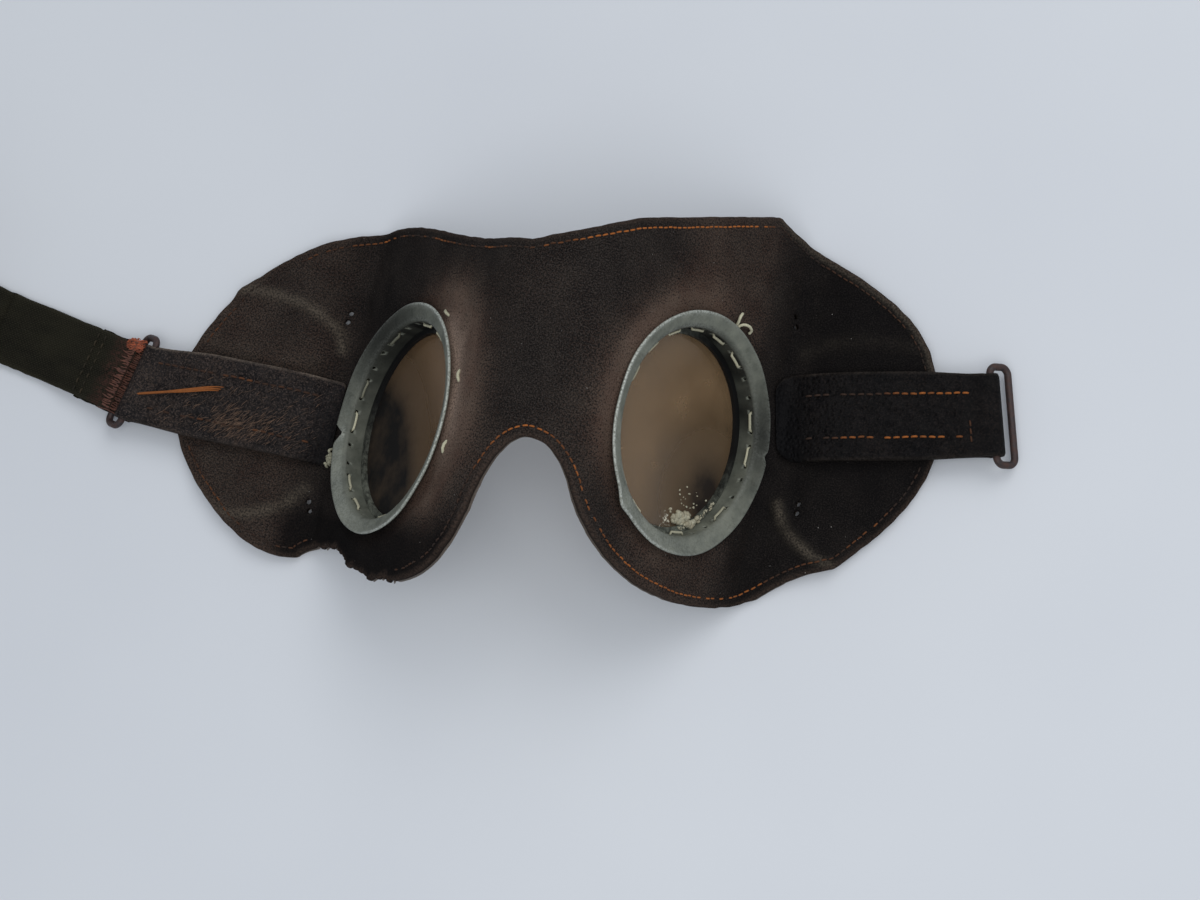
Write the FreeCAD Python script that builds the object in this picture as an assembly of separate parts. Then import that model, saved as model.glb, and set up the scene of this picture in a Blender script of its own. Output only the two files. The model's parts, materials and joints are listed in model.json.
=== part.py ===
import FreeCAD, Part
import math
import os

# Leather motorcycle goggles with two round glasses, lying on a table with their outer side up.
# Millimetres. +X runs to the wearer's left temple side of the table, +Y to the brow, +Z up out of the front.

# Leather mask
LEATHER = 1.8
LINING = 0.8
PLY_GAP = 0.05
ARCH_TURN = 8.5          # the arch of the mask runs this many degrees off square
CROWN_HEIGHT = 60.0      # outer face of the nose bridge above the valleys' level
CROWN_RADIUS = {"left": 20.0, "right": 15.0}
VALLEY_RADIUS = 5.0
VALLEY_LEVEL = 2.22
WING_CREST_RADIUS = 30.0
WING_RISE = 10.0         # degrees
WING_RISE_RUN = 14.0
WING_LEVEL = VALLEY_LEVEL + WING_RISE_RUN * math.tan(math.radians(WING_RISE))
PROFILE_END = 130.0
BRIDGE_GAP = 2.0
BRIDGE_U = 2.5
MASK_DEPTH = 90.0
SEAM_INSET = 2.3
VENT_RADIUS = 0.7

# Lens rings: rim circle's centre, and how far its axis leans from upright
RING_CENTRE = {"left": (-37.9, -0.6, 27.6), "right": (36.2, -1.0, 30.2)}
RING_TILT = {"left": 50.0, "right": 57.0}
RIM_RADIUS = 28.5
WALL_INNER = 24.3
WALL_OUTER = 25.0
DISH_DEPTH = 1.4
FLANGE = 0.6
RING_DEPTH = 10.2
SEAT_LIP = 0.5
SEAT_RADIUS = 22.3
LEATHER_DROP = 1.87      # rim plane to the leather's outer face
OPENING_RADIUS = 25.3
LINING_OPENING = 26.0
GLASS_RADIUS = 24.1
GLASS = 2.0
GASKET = 0.3
FIT_GAP = 0.05
RETAINER = 1.0
RETAINER_INNER = 22.75
RETAINER_OUTER = 24.2

# Hand sewing round each ring
RING_STITCHES = 18
SEW_DEPTH = 2.77         # rim plane to the holes, level with the middle of the leather
SEW_HOLE = 0.5
RING_STITCH = 5.0
RING_THREAD = 0.4

# Machine sewing round the mask and along the tabs
SEAM_THREAD = 0.25
SEAM_STITCH = 3.8
SEAM_PITCH = 5.0
SEAM_LIFT = 0.45
SEAM_STEP = 0.5          # how finely the edge is followed

# Strap tabs, folded round their wire loops
TAB = 2.6
TAB_LIFT = 0.1
TAB_WIDTH = 21.5
TAB_END_WIDTH = 20.0
TAB_START = {"left": (-57.2, 1.1), "right": (55.2, 7.9)}
TAB_END = {"left": (-108.4, 8.6), "right": (105.0, 10.8)}
TAB_END_TURN = {"left": 20.0, "right": 7.0}
TAB_FOLD_PLY = 1.3
TAB_ROW = {"left": 6.0, "right": 5.3}
TAB_ROW_STOP = 4.5       # last stitch to the wire
WIRE_RADIUS = 0.9
WIRE_CLEARANCE = 0.05
LOOP_LENGTH = 24.0       # between the middles of the short sides
LOOP_SPAN = 5.5          # between the middles of the long legs
LOOP_CORNER = 1.9
LOOP_DROOP = 36.2        # degrees below level, outwards

# Elastic strap on the left loop
STRAP_WIDTH = 19.0
STRAP = 1.9
FOLD_PLY = 1.2
STRAND_RADIUS = 0.3
STRAND_COUNT = 9
TURNED_END = 12.0        # length of the turned-under end
STRAP_ROWS = [(9.6, 3.1), (11.6, 3.05)]      # sewing across the strap: distance out, height of its middle
STRAP_SEAM_STITCH = 2.4
STRAP_SEAM_PITCH = 3.2
FOLD_TOP = 4.8
# centre line away from the fold: distance out, height
STRAP_DROP = [(0.0, FOLD_TOP), (3.4, FOLD_TOP), (8.5, 3.2), (13.5, 2.95), (19.5, 1.3), (26.0, 0.95)]
# and on along the table: distance out, sideways drift
STRAP_REST = [(26.0, 0.0), (38.0, 0.35), (50.0, 0.1), (61.7, 0.35)]
ROLL_CENTRE = 72.0
ROLL_RADIUS = 28.0
ROLL_TURNS = 2.5
ROLL_PITCH = 7.2

CORD_NODES = ("strap_band", "strap_roll", "strap_stitching")
SIDES = {"left": -1, "right": 1}
UP = FreeCAD.Vector(0, 0, 1)
ORIGIN = FreeCAD.Vector(0, 0, 0)

# The mask's edge seen from above, corner to corner, clockwise from the brow above the nose
BROW_RIGHT = [(-1, 36.6), (14, 39.6), (34, 47.5), (52.5, 55.5)]
WING_RIGHT = [(52.5, 55.5), (64, 48.5), (76, 41), (86, 32), (91.5, 19), (91, -2), (84, -14), (69, -28)]
CHEEK_RIGHT = [(69, -28), (58, -31.5), (47, -38), (37, -40.3), (28, -38.6), (20, -32.8), (13.5, -22)]
NOSE = [(13.5, -22), (8.2, -12), (1, -8.6), (-5.4, -13), (-11.5, -25)]
CHEEK_LEFT = [(-11.5, -25), (-17.5, -34.5), (-27, -40), (-37, -39.5), (-47, -35.5)]
TORN_EDGE = [(-47, -35.5), (-52, -31.5), (-57, -32.2), (-64, -34)]
WING_LEFT = [(-64, -34), (-76, -30.3), (-88, -20), (-96, -8), (-98.5, 4), (-96, 18), (-84.5, 35)]
BROW_LEFT = [(-84.5, 35), (-75, 42), (-60, 48.6), (-43, 50.6), (-28, 45.5), (-15, 40), (-1, 36.6)]
OUTLINE = [BROW_RIGHT, WING_RIGHT, CHEEK_RIGHT, NOSE, CHEEK_LEFT, TORN_EDGE, WING_LEFT, BROW_LEFT]
VENTS = [(-55.8, 29.9), (-56.4, 27.6), (-62.2, -18.7), (-61.8, -21.0),
         (56.5, 33.4), (56.8, 31.0), (59.5, -12.7), (59.2, -15.0)]


def vec(x, y, z=0.0):
    return FreeCAD.Vector(x, y, z)


def turned(shape, degrees, axis=UP, about=ORIGIN):
    copy = shape.copy()
    copy.rotate(about, axis, degrees)
    return copy


def to_arch(x, y):
    """Distance across the arch and along it, for a point seen from above."""
    a = math.radians(ARCH_TURN)
    return x * math.cos(a) - y * math.sin(a), x * math.sin(a) + y * math.cos(a)


def from_arch(u, v, z):
    a = math.radians(ARCH_TURN)
    return vec(u * math.cos(a) + v * math.sin(a), -u * math.sin(a) + v * math.cos(a), z)


def slope_point(side):
    """A point of the leather's outer face behind the ring's centre, in the arch's section."""
    s = SIDES[side]
    x, y, z = RING_CENTRE[side]
    t = math.radians(RING_TILT[side])
    u = to_arch(x, y)[0]
    return u - s * LEATHER_DROP * math.sin(t), z - LEATHER_DROP * math.cos(t)


def slope_at(side, z):
    u0, z0 = slope_point(side)
    return u0 - SIDES[side] * (z - z0) / math.tan(math.radians(RING_TILT[side]))


def mask_section():
    """Corners of the outer face in the arch's section, from left to right, and their radii."""
    corners = []
    radii = []
    for side in ("left", "right"):
        s = SIDES[side]
        valley = slope_at(side, VALLEY_LEVEL)
        half = [(s * PROFILE_END, WING_LEVEL), (valley + s * WING_RISE_RUN, WING_LEVEL),
                (valley, VALLEY_LEVEL), (slope_at(side, CROWN_HEIGHT), CROWN_HEIGHT)]
        half_radii = [0, WING_CREST_RADIUS, VALLEY_RADIUS, CROWN_RADIUS[side]]
        corners += half if s < 0 else half[::-1]
        radii += half_radii if s < 0 else half_radii[::-1]
    return corners, radii


def offset_corners(corners, radii, distance):
    """The same corners moved sideways by a distance, up being positive, with their new radii."""
    units = []
    for p, q in zip(corners, corners[1:]):
        length = math.hypot(q[0] - p[0], q[1] - p[1])
        units.append(((q[0] - p[0]) / length, (q[1] - p[1]) / length))
    moved = []
    new_radii = []
    for i, (u, z) in enumerate(corners):
        before = units[max(i - 1, 0)]
        after = units[min(i, len(units) - 1)]
        turn = before[0] * after[1] - before[1] * after[0]
        cos_turn = before[0] * after[0] + before[1] * after[1]
        scale = distance / (1 + cos_turn)
        moved.append((u - scale * (before[1] + after[1]), z + scale * (before[0] + after[0])))
        new_radii.append(radii[i] - distance * math.copysign(1, turn) if radii[i] else 0)
    return moved, new_radii


def rounded(corners, radii):
    """Straight and round pieces of a line with rounded corners: (start, middle or None, end)."""
    pieces = []
    last = corners[0]
    for i in range(1, len(corners) - 1):
        a, b, c = corners[i - 1], corners[i], corners[i + 1]
        back = math.hypot(a[0] - b[0], a[1] - b[1])
        on = math.hypot(c[0] - b[0], c[1] - b[1])
        ub = ((a[0] - b[0]) / back, (a[1] - b[1]) / back)
        un = ((c[0] - b[0]) / on, (c[1] - b[1]) / on)
        half = math.acos(max(-1, min(1, -(ub[0] * un[0] + ub[1] * un[1])))) / 2
        cut = radii[i] * math.tan(half)
        start = (b[0] + ub[0] * cut, b[1] + ub[1] * cut)
        end = (b[0] + un[0] * cut, b[1] + un[1] * cut)
        mid_chord = ((start[0] + end[0]) / 2, (start[1] + end[1]) / 2)
        reach = math.hypot(mid_chord[0] - b[0], mid_chord[1] - b[1])
        near = radii[i] / math.cos(half) - radii[i]
        middle = (b[0] + (mid_chord[0] - b[0]) * near / reach, b[1] + (mid_chord[1] - b[1]) * near / reach)
        pieces.append((last, None, start))
        pieces.append((start, middle, end))
        last = end
    pieces.append((last, None, corners[-1]))
    return pieces


def section_edges(pieces):
    edges = []
    for start, middle, end in pieces:
        p = vec(start[0], 0, start[1])
        q = vec(end[0], 0, end[1])
        if middle is None:
            edges.append(Part.LineSegment(p, q).toShape())
        else:
            edges.append(Part.Arc(p, vec(middle[0], 0, middle[1]), q).toShape())
    return edges


def band(corners, radii, low, high, near, far):
    """A bent sheet between two offsets of a rounded line, from y = near to y = far."""
    below = rounded(*offset_corners(corners, radii, low))
    above = rounded(*offset_corners(corners, radii, high))
    edges = section_edges(below) + section_edges(above)
    for a, b in ((below[0][0], above[0][0]), (below[-1][2], above[-1][2])):
        edges.append(Part.LineSegment(vec(a[0], 0, a[1]), vec(b[0], 0, b[1])).toShape())
    wire = Part.Wire(Part.__sortEdges__(edges))
    face = Part.Face(wire)
    face.translate(vec(0, near, 0))
    return face.extrude(vec(0, far - near, 0))


def mask_sheet(low, high):
    corners, radii = mask_section()
    return turned(band(corners, radii, low, high, -MASK_DEPTH, MASK_DEPTH), -ARCH_TURN)


def surface(x, y):
    """Point and outward direction of the leather's outer face, straight below or above (x, y)."""
    u, v = to_arch(x, y)
    for start, middle, end in rounded(*mask_section()):
        if start[0] <= u <= end[0]:
            break
    if middle is None:
        z = start[1] + (end[1] - start[1]) * (u - start[0]) / (end[0] - start[0])
        slope = math.atan2(end[1] - start[1], end[0] - start[0])
    else:
        arc = Part.Arc(vec(*start), vec(*middle), vec(*end)).toShape().Curve
        side = 1 if middle[1] > (start[1] + end[1]) / 2 else -1
        rise = math.sqrt(max(arc.Radius ** 2 - (u - arc.Center.x) ** 2, 0))
        z = arc.Center.y + side * rise
        slope = math.atan2(-side * (u - arc.Center.x), rise)
    normal = from_arch(-math.sin(slope), 0, math.cos(slope))
    return from_arch(u, v, z), normal


def outline_wire():
    edges = []
    for stretch in OUTLINE:
        curve = Part.BSplineCurve()
        curve.interpolate([vec(x, y) for x, y in stretch])
        edges.append(curve.toShape())
    return Part.Wire(edges)


def to_crown():
    """A point of the bridge's fold line, seen from above."""
    crown = from_arch(BRIDGE_U, 0, 0)
    return crown.x, crown.y


def side_block(side):
    """Everything on one side of the bridge's fold."""
    s = SIDES[side]
    near = BRIDGE_U + s * BRIDGE_GAP / 2
    far = s * 2 * PROFILE_END
    block = Part.makeBox(abs(far - near), 4 * MASK_DEPTH, 4 * MASK_DEPTH,
                         vec(min(near, far), -2 * MASK_DEPTH, -2 * MASK_DEPTH))
    return turned(block, -ARCH_TURN)


def ring_place(shape, side):
    """Move a shape made round the Z axis, with the rim at z = 0, to its ring's place."""
    placed = turned(shape, SIDES[side] * RING_TILT[side], vec(0, 1, 0))
    placed = turned(placed, -ARCH_TURN)
    placed.translate(vec(*RING_CENTRE[side]))
    return placed


def disc(radius, low, high):
    return Part.makeCylinder(radius, high - low, vec(0, 0, low))


def mask_layer(side, outer, thickness, opening):
    layer = mask_sheet(outer - thickness, outer)
    prism = Part.Face(outline_wire()).extrude(vec(0, 0, 4 * MASK_DEPTH))
    prism.translate(vec(0, 0, -2 * MASK_DEPTH))
    layer = layer.common(prism).common(side_block(side))
    layer = layer.cut(ring_place(disc(opening, -RIM_RADIUS, RIM_RADIUS), side))
    holes = [Part.makeCylinder(VENT_RADIUS, MASK_DEPTH, vec(x, y, -MASK_DEPTH / 2)) for x, y in VENTS
             if x * SIDES[side] > 0]
    return layer.cut(Part.makeCompound(holes))


def ring_profile():
    back_drop = FLANGE + DISH_DEPTH * (RIM_RADIUS - WALL_OUTER) / (RIM_RADIUS - WALL_INNER)
    return [(RIM_RADIUS, 0), (RIM_RADIUS, -FLANGE), (WALL_OUTER, -back_drop), (WALL_OUTER, -RING_DEPTH),
            (SEAT_RADIUS, -RING_DEPTH), (SEAT_RADIUS, SEAT_LIP - RING_DEPTH),
            (WALL_INNER, SEAT_LIP - RING_DEPTH), (WALL_INNER, -DISH_DEPTH)]


def stitch_angles():
    """Start and end angle of each hand stitch inside a ring's wall, in degrees."""
    half = math.degrees(RING_STITCH / WALL_INNER / 2)
    step = 360 / RING_STITCHES
    return [(i * step - half, i * step + half) for i in range(RING_STITCHES)]


def in_wall(angle, radius):
    a = math.radians(angle)
    return vec(radius * math.cos(a), radius * math.sin(a), -SEW_DEPTH)


def lens_ring(side):
    points = [vec(r, 0, z) for r, z in ring_profile()]
    face = Part.Face(Part.makePolygon(points + points[:1]))
    ring = face.revolve(ORIGIN, UP, 360)
    holes = [bar(in_wall(angle, WALL_INNER - FLANGE), in_wall(angle, WALL_OUTER + FLANGE), SEW_HOLE)
             for pair in stitch_angles() for angle in pair]
    return ring_place(ring.cut(Part.makeCompound(holes)), side)


def bar(p, q, radius):
    return Part.makeCylinder(radius, (q - p).Length, p, q - p)


def ring_thread(side):
    reach = WALL_INNER - RING_THREAD - FIT_GAP
    bars = [bar(in_wall(a, reach), in_wall(b, reach), RING_THREAD) for a, b in stitch_angles()]
    return ring_place(Part.makeCompound(bars), side)


def washer(outer, inner, low, high):
    return disc(outer, low, high).cut(disc(inner, low - 1, high + 1))


def glazing(side):
    """Gasket, glass and retaining ring, from the seat outwards."""
    low = SEAT_LIP - RING_DEPTH + FIT_GAP
    gasket = washer(GLASS_RADIUS, SEAT_RADIUS + RETAINER / 2, low, low + GASKET)
    low += GASKET + FIT_GAP
    glass = disc(GLASS_RADIUS, low, low + GLASS)
    low += GLASS + FIT_GAP
    retainer = washer(RETAINER_OUTER, RETAINER_INNER, low, low + RETAINER)
    return [ring_place(shape, side) for shape in (gasket, glass, retainer)]


def spaced(points, stitch, pitch):
    """Start and end points of stitches laid along a chain of points."""
    ends = []
    travelled = 0.0
    wanted = pitch / 2
    start = None
    for p, q in zip(points, points[1:]):
        step = (q - p).Length
        while step and travelled + step >= wanted:
            here = p + (q - p) * ((wanted - travelled) / step)
            if start is None:
                start = here
                wanted += stitch
            else:
                ends.append((start, here))
                start = None
                wanted += pitch - stitch
        travelled += step
    return ends


def edge_stitching(side):
    s = SIDES[side]
    edge = outline_wire().discretize(Distance=SEAM_STEP)
    runs = [[]]
    for before, here, after in zip(edge, edge[1:], edge[2:]):
        along = (after - before).normalize()
        spot = here + vec(along.y, -along.x) * SEAM_INSET
        own_side = s * (to_arch(spot.x, spot.y)[0] - BRIDGE_U) > BRIDGE_GAP
        if own_side and not torn(spot) and not under_tab(spot, side):
            point, normal = surface(spot.x, spot.y)
            runs[-1].append(point + normal * SEAM_LIFT)
        elif runs[-1]:
            runs.append([])
    bars = [bar(p, q, SEAM_THREAD) for run in runs for p, q in spaced(run, SEAM_STITCH, SEAM_PITCH)]
    return Part.makeCompound(bars)


def torn(spot):
    """True over the ragged stretch of the left cheek, which has lost its sewing."""
    return TORN_EDGE[-1][0] - SEAM_INSET < spot.x < TORN_EDGE[0][0] + SEAM_INSET and spot.y < 0


def under_tab(spot, side):
    start, _, _, across = tab_axes(side)
    offset = spot - start
    return SIDES[side] * spot.x > SIDES[side] * start.x and abs(offset.dot(across)) < TAB_WIDTH / 2 + 1


def tab_axes(side):
    start = vec(*TAB_START[side])
    end = vec(*TAB_END[side])
    along = (end - start).normalize()
    return start, end, along, vec(-along.y, along.x)


def fold_axes(side):
    """Outward direction and leg direction of the folded end, both level."""
    a = math.radians(TAB_END_TURN[side])
    out = vec(SIDES[side] * math.cos(a), math.sin(a))
    return out, vec(-out.y, out.x)


def tab_level():
    return WING_LEVEL + TAB_LIFT + TAB / 2


def inner_leg(side):
    x, y = TAB_END[side]
    return vec(x, y, tab_level())


def outer_leg(side):
    out = fold_axes(side)[0]
    a = math.radians(LOOP_DROOP)
    return inner_leg(side) + (out * math.cos(a) - UP * math.sin(a)) * LOOP_SPAN


def strap_tab(side):
    start, end, along, across = tab_axes(side)
    leg = fold_axes(side)[1]
    half = TAB_WIDTH / 2
    end_half = TAB_END_WIDTH / 2
    leg_sign = 1 if leg.dot(across) > 0 else -1
    shoulder = end - along * TAB_WIDTH
    corners = [start + across * half, shoulder + across * half, end + leg * leg_sign * end_half,
               end - leg * leg_sign * end_half, shoulder - across * half, start - across * half]
    prism = Part.Face(Part.makePolygon(corners + corners[:1])).extrude(vec(0, 0, MASK_DEPTH))
    tab = mask_sheet(TAB_LIFT, TAB_LIFT + TAB).common(prism)
    foot = inner_leg(side) - leg * end_half
    bore = WIRE_RADIUS + WIRE_CLEARANCE
    tab = tab.fuse(Part.makeCylinder(bore + TAB_FOLD_PLY, TAB_END_WIDTH, foot, leg))
    tab = tab.cut(Part.makeCylinder(bore, 2 * TAB_WIDTH, foot - leg * half, leg))
    return tab.removeSplitter()


def tab_stitching(side):
    start, end, along, across = tab_axes(side)
    top = WING_LEVEL + TAB_LIFT + TAB + SEAM_LIFT
    bars = []
    for row in (TAB_ROW[side], -TAB_ROW[side]):
        first = start + along * TAB_WIDTH + across * row
        last = end - along * TAB_ROW_STOP + across * row
        line = [vec(p.x, p.y, top) for p in (first, last)]
        bars += [bar(p, q, SEAM_THREAD) for p, q in spaced(line, SEAM_STITCH, SEAM_PITCH)]
    return Part.makeCompound(bars)


def wire_loop(side):
    """A closed loop of round wire, long side to long side, drooping from the tab's fold."""
    half_length = LOOP_LENGTH / 2
    c = LOOP_CORNER
    k = c * (1 - math.sqrt(0.5))
    corners = [(half_length, 0, -1, 1), (half_length, LOOP_SPAN, -1, -1),
               (-half_length, LOOP_SPAN, 1, -1), (-half_length, 0, 1, 1)]
    edges = []
    starts = []
    ends = []
    for i, (x, y, dx, dy) in enumerate(corners):
        on_leg = vec(x + dx * c, y)
        on_side = vec(x, y + dy * c)
        first, last = (on_leg, on_side) if i % 2 == 0 else (on_side, on_leg)
        edges.append(Part.Arc(first, vec(x + dx * k, y + dy * k), last).toShape())
        starts.append(first)
        ends.append(last)
    for i in range(4):
        edges.append(Part.LineSegment(ends[i], starts[(i + 1) % 4]).toShape())
    path = Part.Wire(Part.__sortEdges__(edges))
    tip = path.Edges[0].valueAt(path.Edges[0].FirstParameter)
    direction = path.Edges[0].tangentAt(path.Edges[0].FirstParameter)
    section = Part.Wire(Part.makeCircle(WIRE_RADIUS, tip, direction))
    loop = path.makePipeShell([section], True, False)
    out, leg = fold_axes(side)
    a = math.radians(LOOP_DROOP)
    outward = out * math.cos(a) - UP * math.sin(a)
    x_axis = outward.cross(leg).cross(outward)
    rotation = FreeCAD.Rotation(x_axis, outward, x_axis.cross(outward), "XYZ")
    loop.transformShape(FreeCAD.Placement(inner_leg(side), rotation).toMatrix())
    return loop


def strap_frame(shape):
    """Move a shape whose x runs out along the strap and y across it, to the left loop's outer leg."""
    out = fold_axes("left")[0]
    placed = turned(shape, math.degrees(math.atan2(out.y, out.x)))
    foot = outer_leg("left")
    placed.translate(vec(foot.x, foot.y, 0))
    return placed


def half_ring(outer, inner, width):
    """The bend of the fold, open towards +x, centred on the leg."""
    ring = Part.makeCylinder(outer, width, ORIGIN, vec(0, 1, 0))
    ring = ring.cut(Part.makeCylinder(inner, width, ORIGIN, vec(0, 1, 0)))
    ring = ring.cut(Part.makeBox(outer, width, 2 * outer, vec(0, 0, -outer)))
    ring.translate(vec(0, -width / 2, outer_leg("left").z))
    return ring


def strap_fold():
    inner = WIRE_RADIUS + WIRE_CLEARANCE
    level = outer_leg("left").z
    bend = half_ring(inner + FOLD_PLY, inner, STRAP_WIDTH)
    corner = vec(0, -STRAP_WIDTH / 2, level - inner - FOLD_PLY)
    under = Part.makeBox(TURNED_END, STRAP_WIDTH, FOLD_PLY, corner)
    return strap_frame(bend.fuse(under).removeSplitter())


def rubber_strands():
    inner = WIRE_RADIUS + WIRE_CLEARANCE + FOLD_PLY
    reach = inner + FIT_GAP + STRAND_RADIUS
    beyond = Part.makeBox(2 * reach, STRAP_WIDTH * 2, 4 * reach, vec(0, -STRAP_WIDTH, -reach))
    strands = []
    for i in range(STRAND_COUNT):
        across = (i + 0.5) * STRAP_WIDTH / STRAND_COUNT - STRAP_WIDTH / 2
        strand = Part.makeTorus(reach, STRAND_RADIUS, vec(0, across, outer_leg("left").z), vec(0, 1, 0))
        strands.append(strand.cut(beyond))
    return strap_frame(Part.makeCompound(strands))


def route_radii(corners, name):
    """Each bend's radius is 0.45 of its shorter run over the tangent of half its turn."""
    radii = [0]
    for a, b, c in zip(corners, corners[1:], corners[2:]):
        back = math.hypot(b[0] - a[0], b[1] - a[1])
        on = math.hypot(c[0] - b[0], c[1] - b[1])
        turn = math.atan2(c[1] - b[1], c[0] - b[0]) - math.atan2(b[1] - a[1], b[0] - a[0])
        radii.append(0.45 * min(back, on) / math.tan(abs(turn) / 2))
    print(name, "bend radii", [round(r, 1) for r in radii[1:]])
    return radii + [0]


def route_length(corners, radii):
    total = 0.0
    for start, middle, end in rounded(corners, radii):
        if middle is None:
            total += math.hypot(end[0] - start[0], end[1] - start[1])
        else:
            total += Part.Arc(vec(*start), vec(*middle), vec(*end)).toShape().Length
    return total


def strap_band():
    """The strap from its fold, down to the table and along it to the roll."""
    drop_radii = route_radii(STRAP_DROP, "strap drop")
    drop = band(STRAP_DROP, drop_radii, -STRAP / 2, STRAP / 2, -STRAP_WIDTH / 2, STRAP_WIDTH / 2)
    rest_radii = route_radii(STRAP_REST, "strap rest")
    rest = band(STRAP_REST, rest_radii, -STRAP_WIDTH / 2, STRAP_WIDTH / 2, 0, STRAP)
    rest.rotate(ORIGIN, vec(1, 0, 0), -90)
    rest.translate(vec(0, 0, STRAP))
    length = route_length(STRAP_DROP, drop_radii) + route_length(STRAP_REST, rest_radii)
    whole = drop.fuse(rest).removeSplitter()
    print("strap band volume", round(whole.Volume), "section x length", round(length * STRAP * STRAP_WIDTH))
    return strap_frame(whole), length


def strap_roll():
    drift = STRAP_REST[-1][1]
    foot = vec(ROLL_CENTRE, drift - STRAP_WIDTH / 2, ROLL_RADIUS)
    return strap_frame(Part.makeCylinder(ROLL_RADIUS, STRAP_WIDTH, foot, vec(0, 1, 0)))


def strap_stitching():
    """Two rows of sewing across the strap, through the turned-under end."""
    bars = []
    for distance, height in STRAP_ROWS:
        level = height + STRAP / 2 + SEAM_LIFT
        line = [vec(distance, y, level) for y in (-STRAP_WIDTH / 2 + 1, STRAP_WIDTH / 2 - 1)]
        bars += [bar(p, q, SEAM_THREAD) for p, q in spaced(line, STRAP_SEAM_STITCH, STRAP_SEAM_PITCH)]
    return strap_frame(Part.makeCompound(bars))


def build():
    nodes = {}
    for side in SIDES:
        nodes[side + "_mask_leather"] = mask_layer(side, 0, LEATHER, OPENING_RADIUS)
        nodes[side + "_mask_lining"] = mask_layer(side, -LEATHER - PLY_GAP, LINING, LINING_OPENING)
        nodes[side + "_edge_stitching"] = edge_stitching(side)
        nodes[side + "_lens_ring"] = lens_ring(side)
        nodes[side + "_ring_thread"] = ring_thread(side)
        gasket, glass, retainer = glazing(side)
        nodes[side + "_lens_gasket"] = gasket
        nodes[side + "_lens"] = glass
        nodes[side + "_retaining_ring"] = retainer
        nodes[side + "_strap_tab"] = strap_tab(side)
        nodes[side + "_tab_stitching"] = tab_stitching(side)
        nodes[side + "_wire_loop"] = wire_loop(side)
    nodes["strap_fold"] = strap_fold()
    nodes["strap_rubber_strands"] = rubber_strands()
    nodes["strap_stitching"] = strap_stitching()
    nodes["strap_band"], band_length = strap_band()
    nodes["strap_roll"] = strap_roll()
    mean_turn = ROLL_RADIUS - STRAP / 2 - ROLL_PITCH * ROLL_TURNS / 2
    print("strap length", round(band_length + 2 * math.pi * mean_turn * ROLL_TURNS))
    return nodes


def written(numbers, digits=3):
    return [round(n, digits) for n in numbers]


def main():
    os.makedirs("parts", exist_ok=True)
    nodes = build()
    own = Part.makeCompound([shape for name, shape in nodes.items() if name not in CORD_NODES])
    box = own.optimalBoundingBox()
    shift = vec(-box.Center.x, -box.Center.y, -box.ZMin)
    for name, shape in nodes.items():
        shape.translate(shift)
        shape.exportStep("parts/" + name + ".step")
    print("shift", written(shift), "size", written((box.XLength, box.YLength, box.ZLength), 1))
    for side in SIDES:
        leg = fold_axes(side)[1]
        print(side, "inner leg", written(inner_leg(side) + shift), "along", written(leg, 5))
        print(side, "outer leg", written(outer_leg(side) + shift), "along", written(leg, 5))
    crown = surface(*to_crown())[0]
    print("bridge fold", written(crown + shift), "along", written(from_arch(0, 1, 0), 5))


main()
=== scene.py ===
import bisect
import json
import random
from math import acos, atan2, cos, exp, hypot, pi, radians, sin, sqrt, tan

import bmesh
import bpy
import numpy as np
from mathutils import Matrix, Vector, kdtree, noise
from mathutils.geometry import delaunay_2d_cdt


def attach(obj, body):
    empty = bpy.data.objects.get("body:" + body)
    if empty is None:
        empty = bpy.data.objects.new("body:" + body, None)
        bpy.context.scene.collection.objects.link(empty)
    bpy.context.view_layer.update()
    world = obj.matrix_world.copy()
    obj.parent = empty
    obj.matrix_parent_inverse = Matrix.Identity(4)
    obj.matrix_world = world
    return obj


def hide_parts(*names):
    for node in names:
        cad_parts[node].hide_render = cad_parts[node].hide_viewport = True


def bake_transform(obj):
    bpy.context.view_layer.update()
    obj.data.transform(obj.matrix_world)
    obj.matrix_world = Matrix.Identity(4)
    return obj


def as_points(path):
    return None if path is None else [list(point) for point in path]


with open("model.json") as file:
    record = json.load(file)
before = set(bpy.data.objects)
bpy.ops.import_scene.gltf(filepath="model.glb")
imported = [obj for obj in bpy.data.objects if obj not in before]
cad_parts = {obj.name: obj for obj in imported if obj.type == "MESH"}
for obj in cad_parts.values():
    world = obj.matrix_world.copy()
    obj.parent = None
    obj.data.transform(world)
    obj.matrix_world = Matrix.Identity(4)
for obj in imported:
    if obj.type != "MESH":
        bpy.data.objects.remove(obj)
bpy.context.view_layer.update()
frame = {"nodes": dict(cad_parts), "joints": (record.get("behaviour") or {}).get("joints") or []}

# Leather motorcycle goggles lying on a pale table with their outer side up.
# Lengths are millimetres in the mask's own frame until place() turns them into the row frame's metres.

NODES = frame["nodes"]
JOINTS = {j["name"]: j for j in frame["joints"]}
MM = 0.001
TURN = 2 * pi
SIDES = {"left": -1, "right": 1}
UP = Vector((0, 0, 1))

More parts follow.
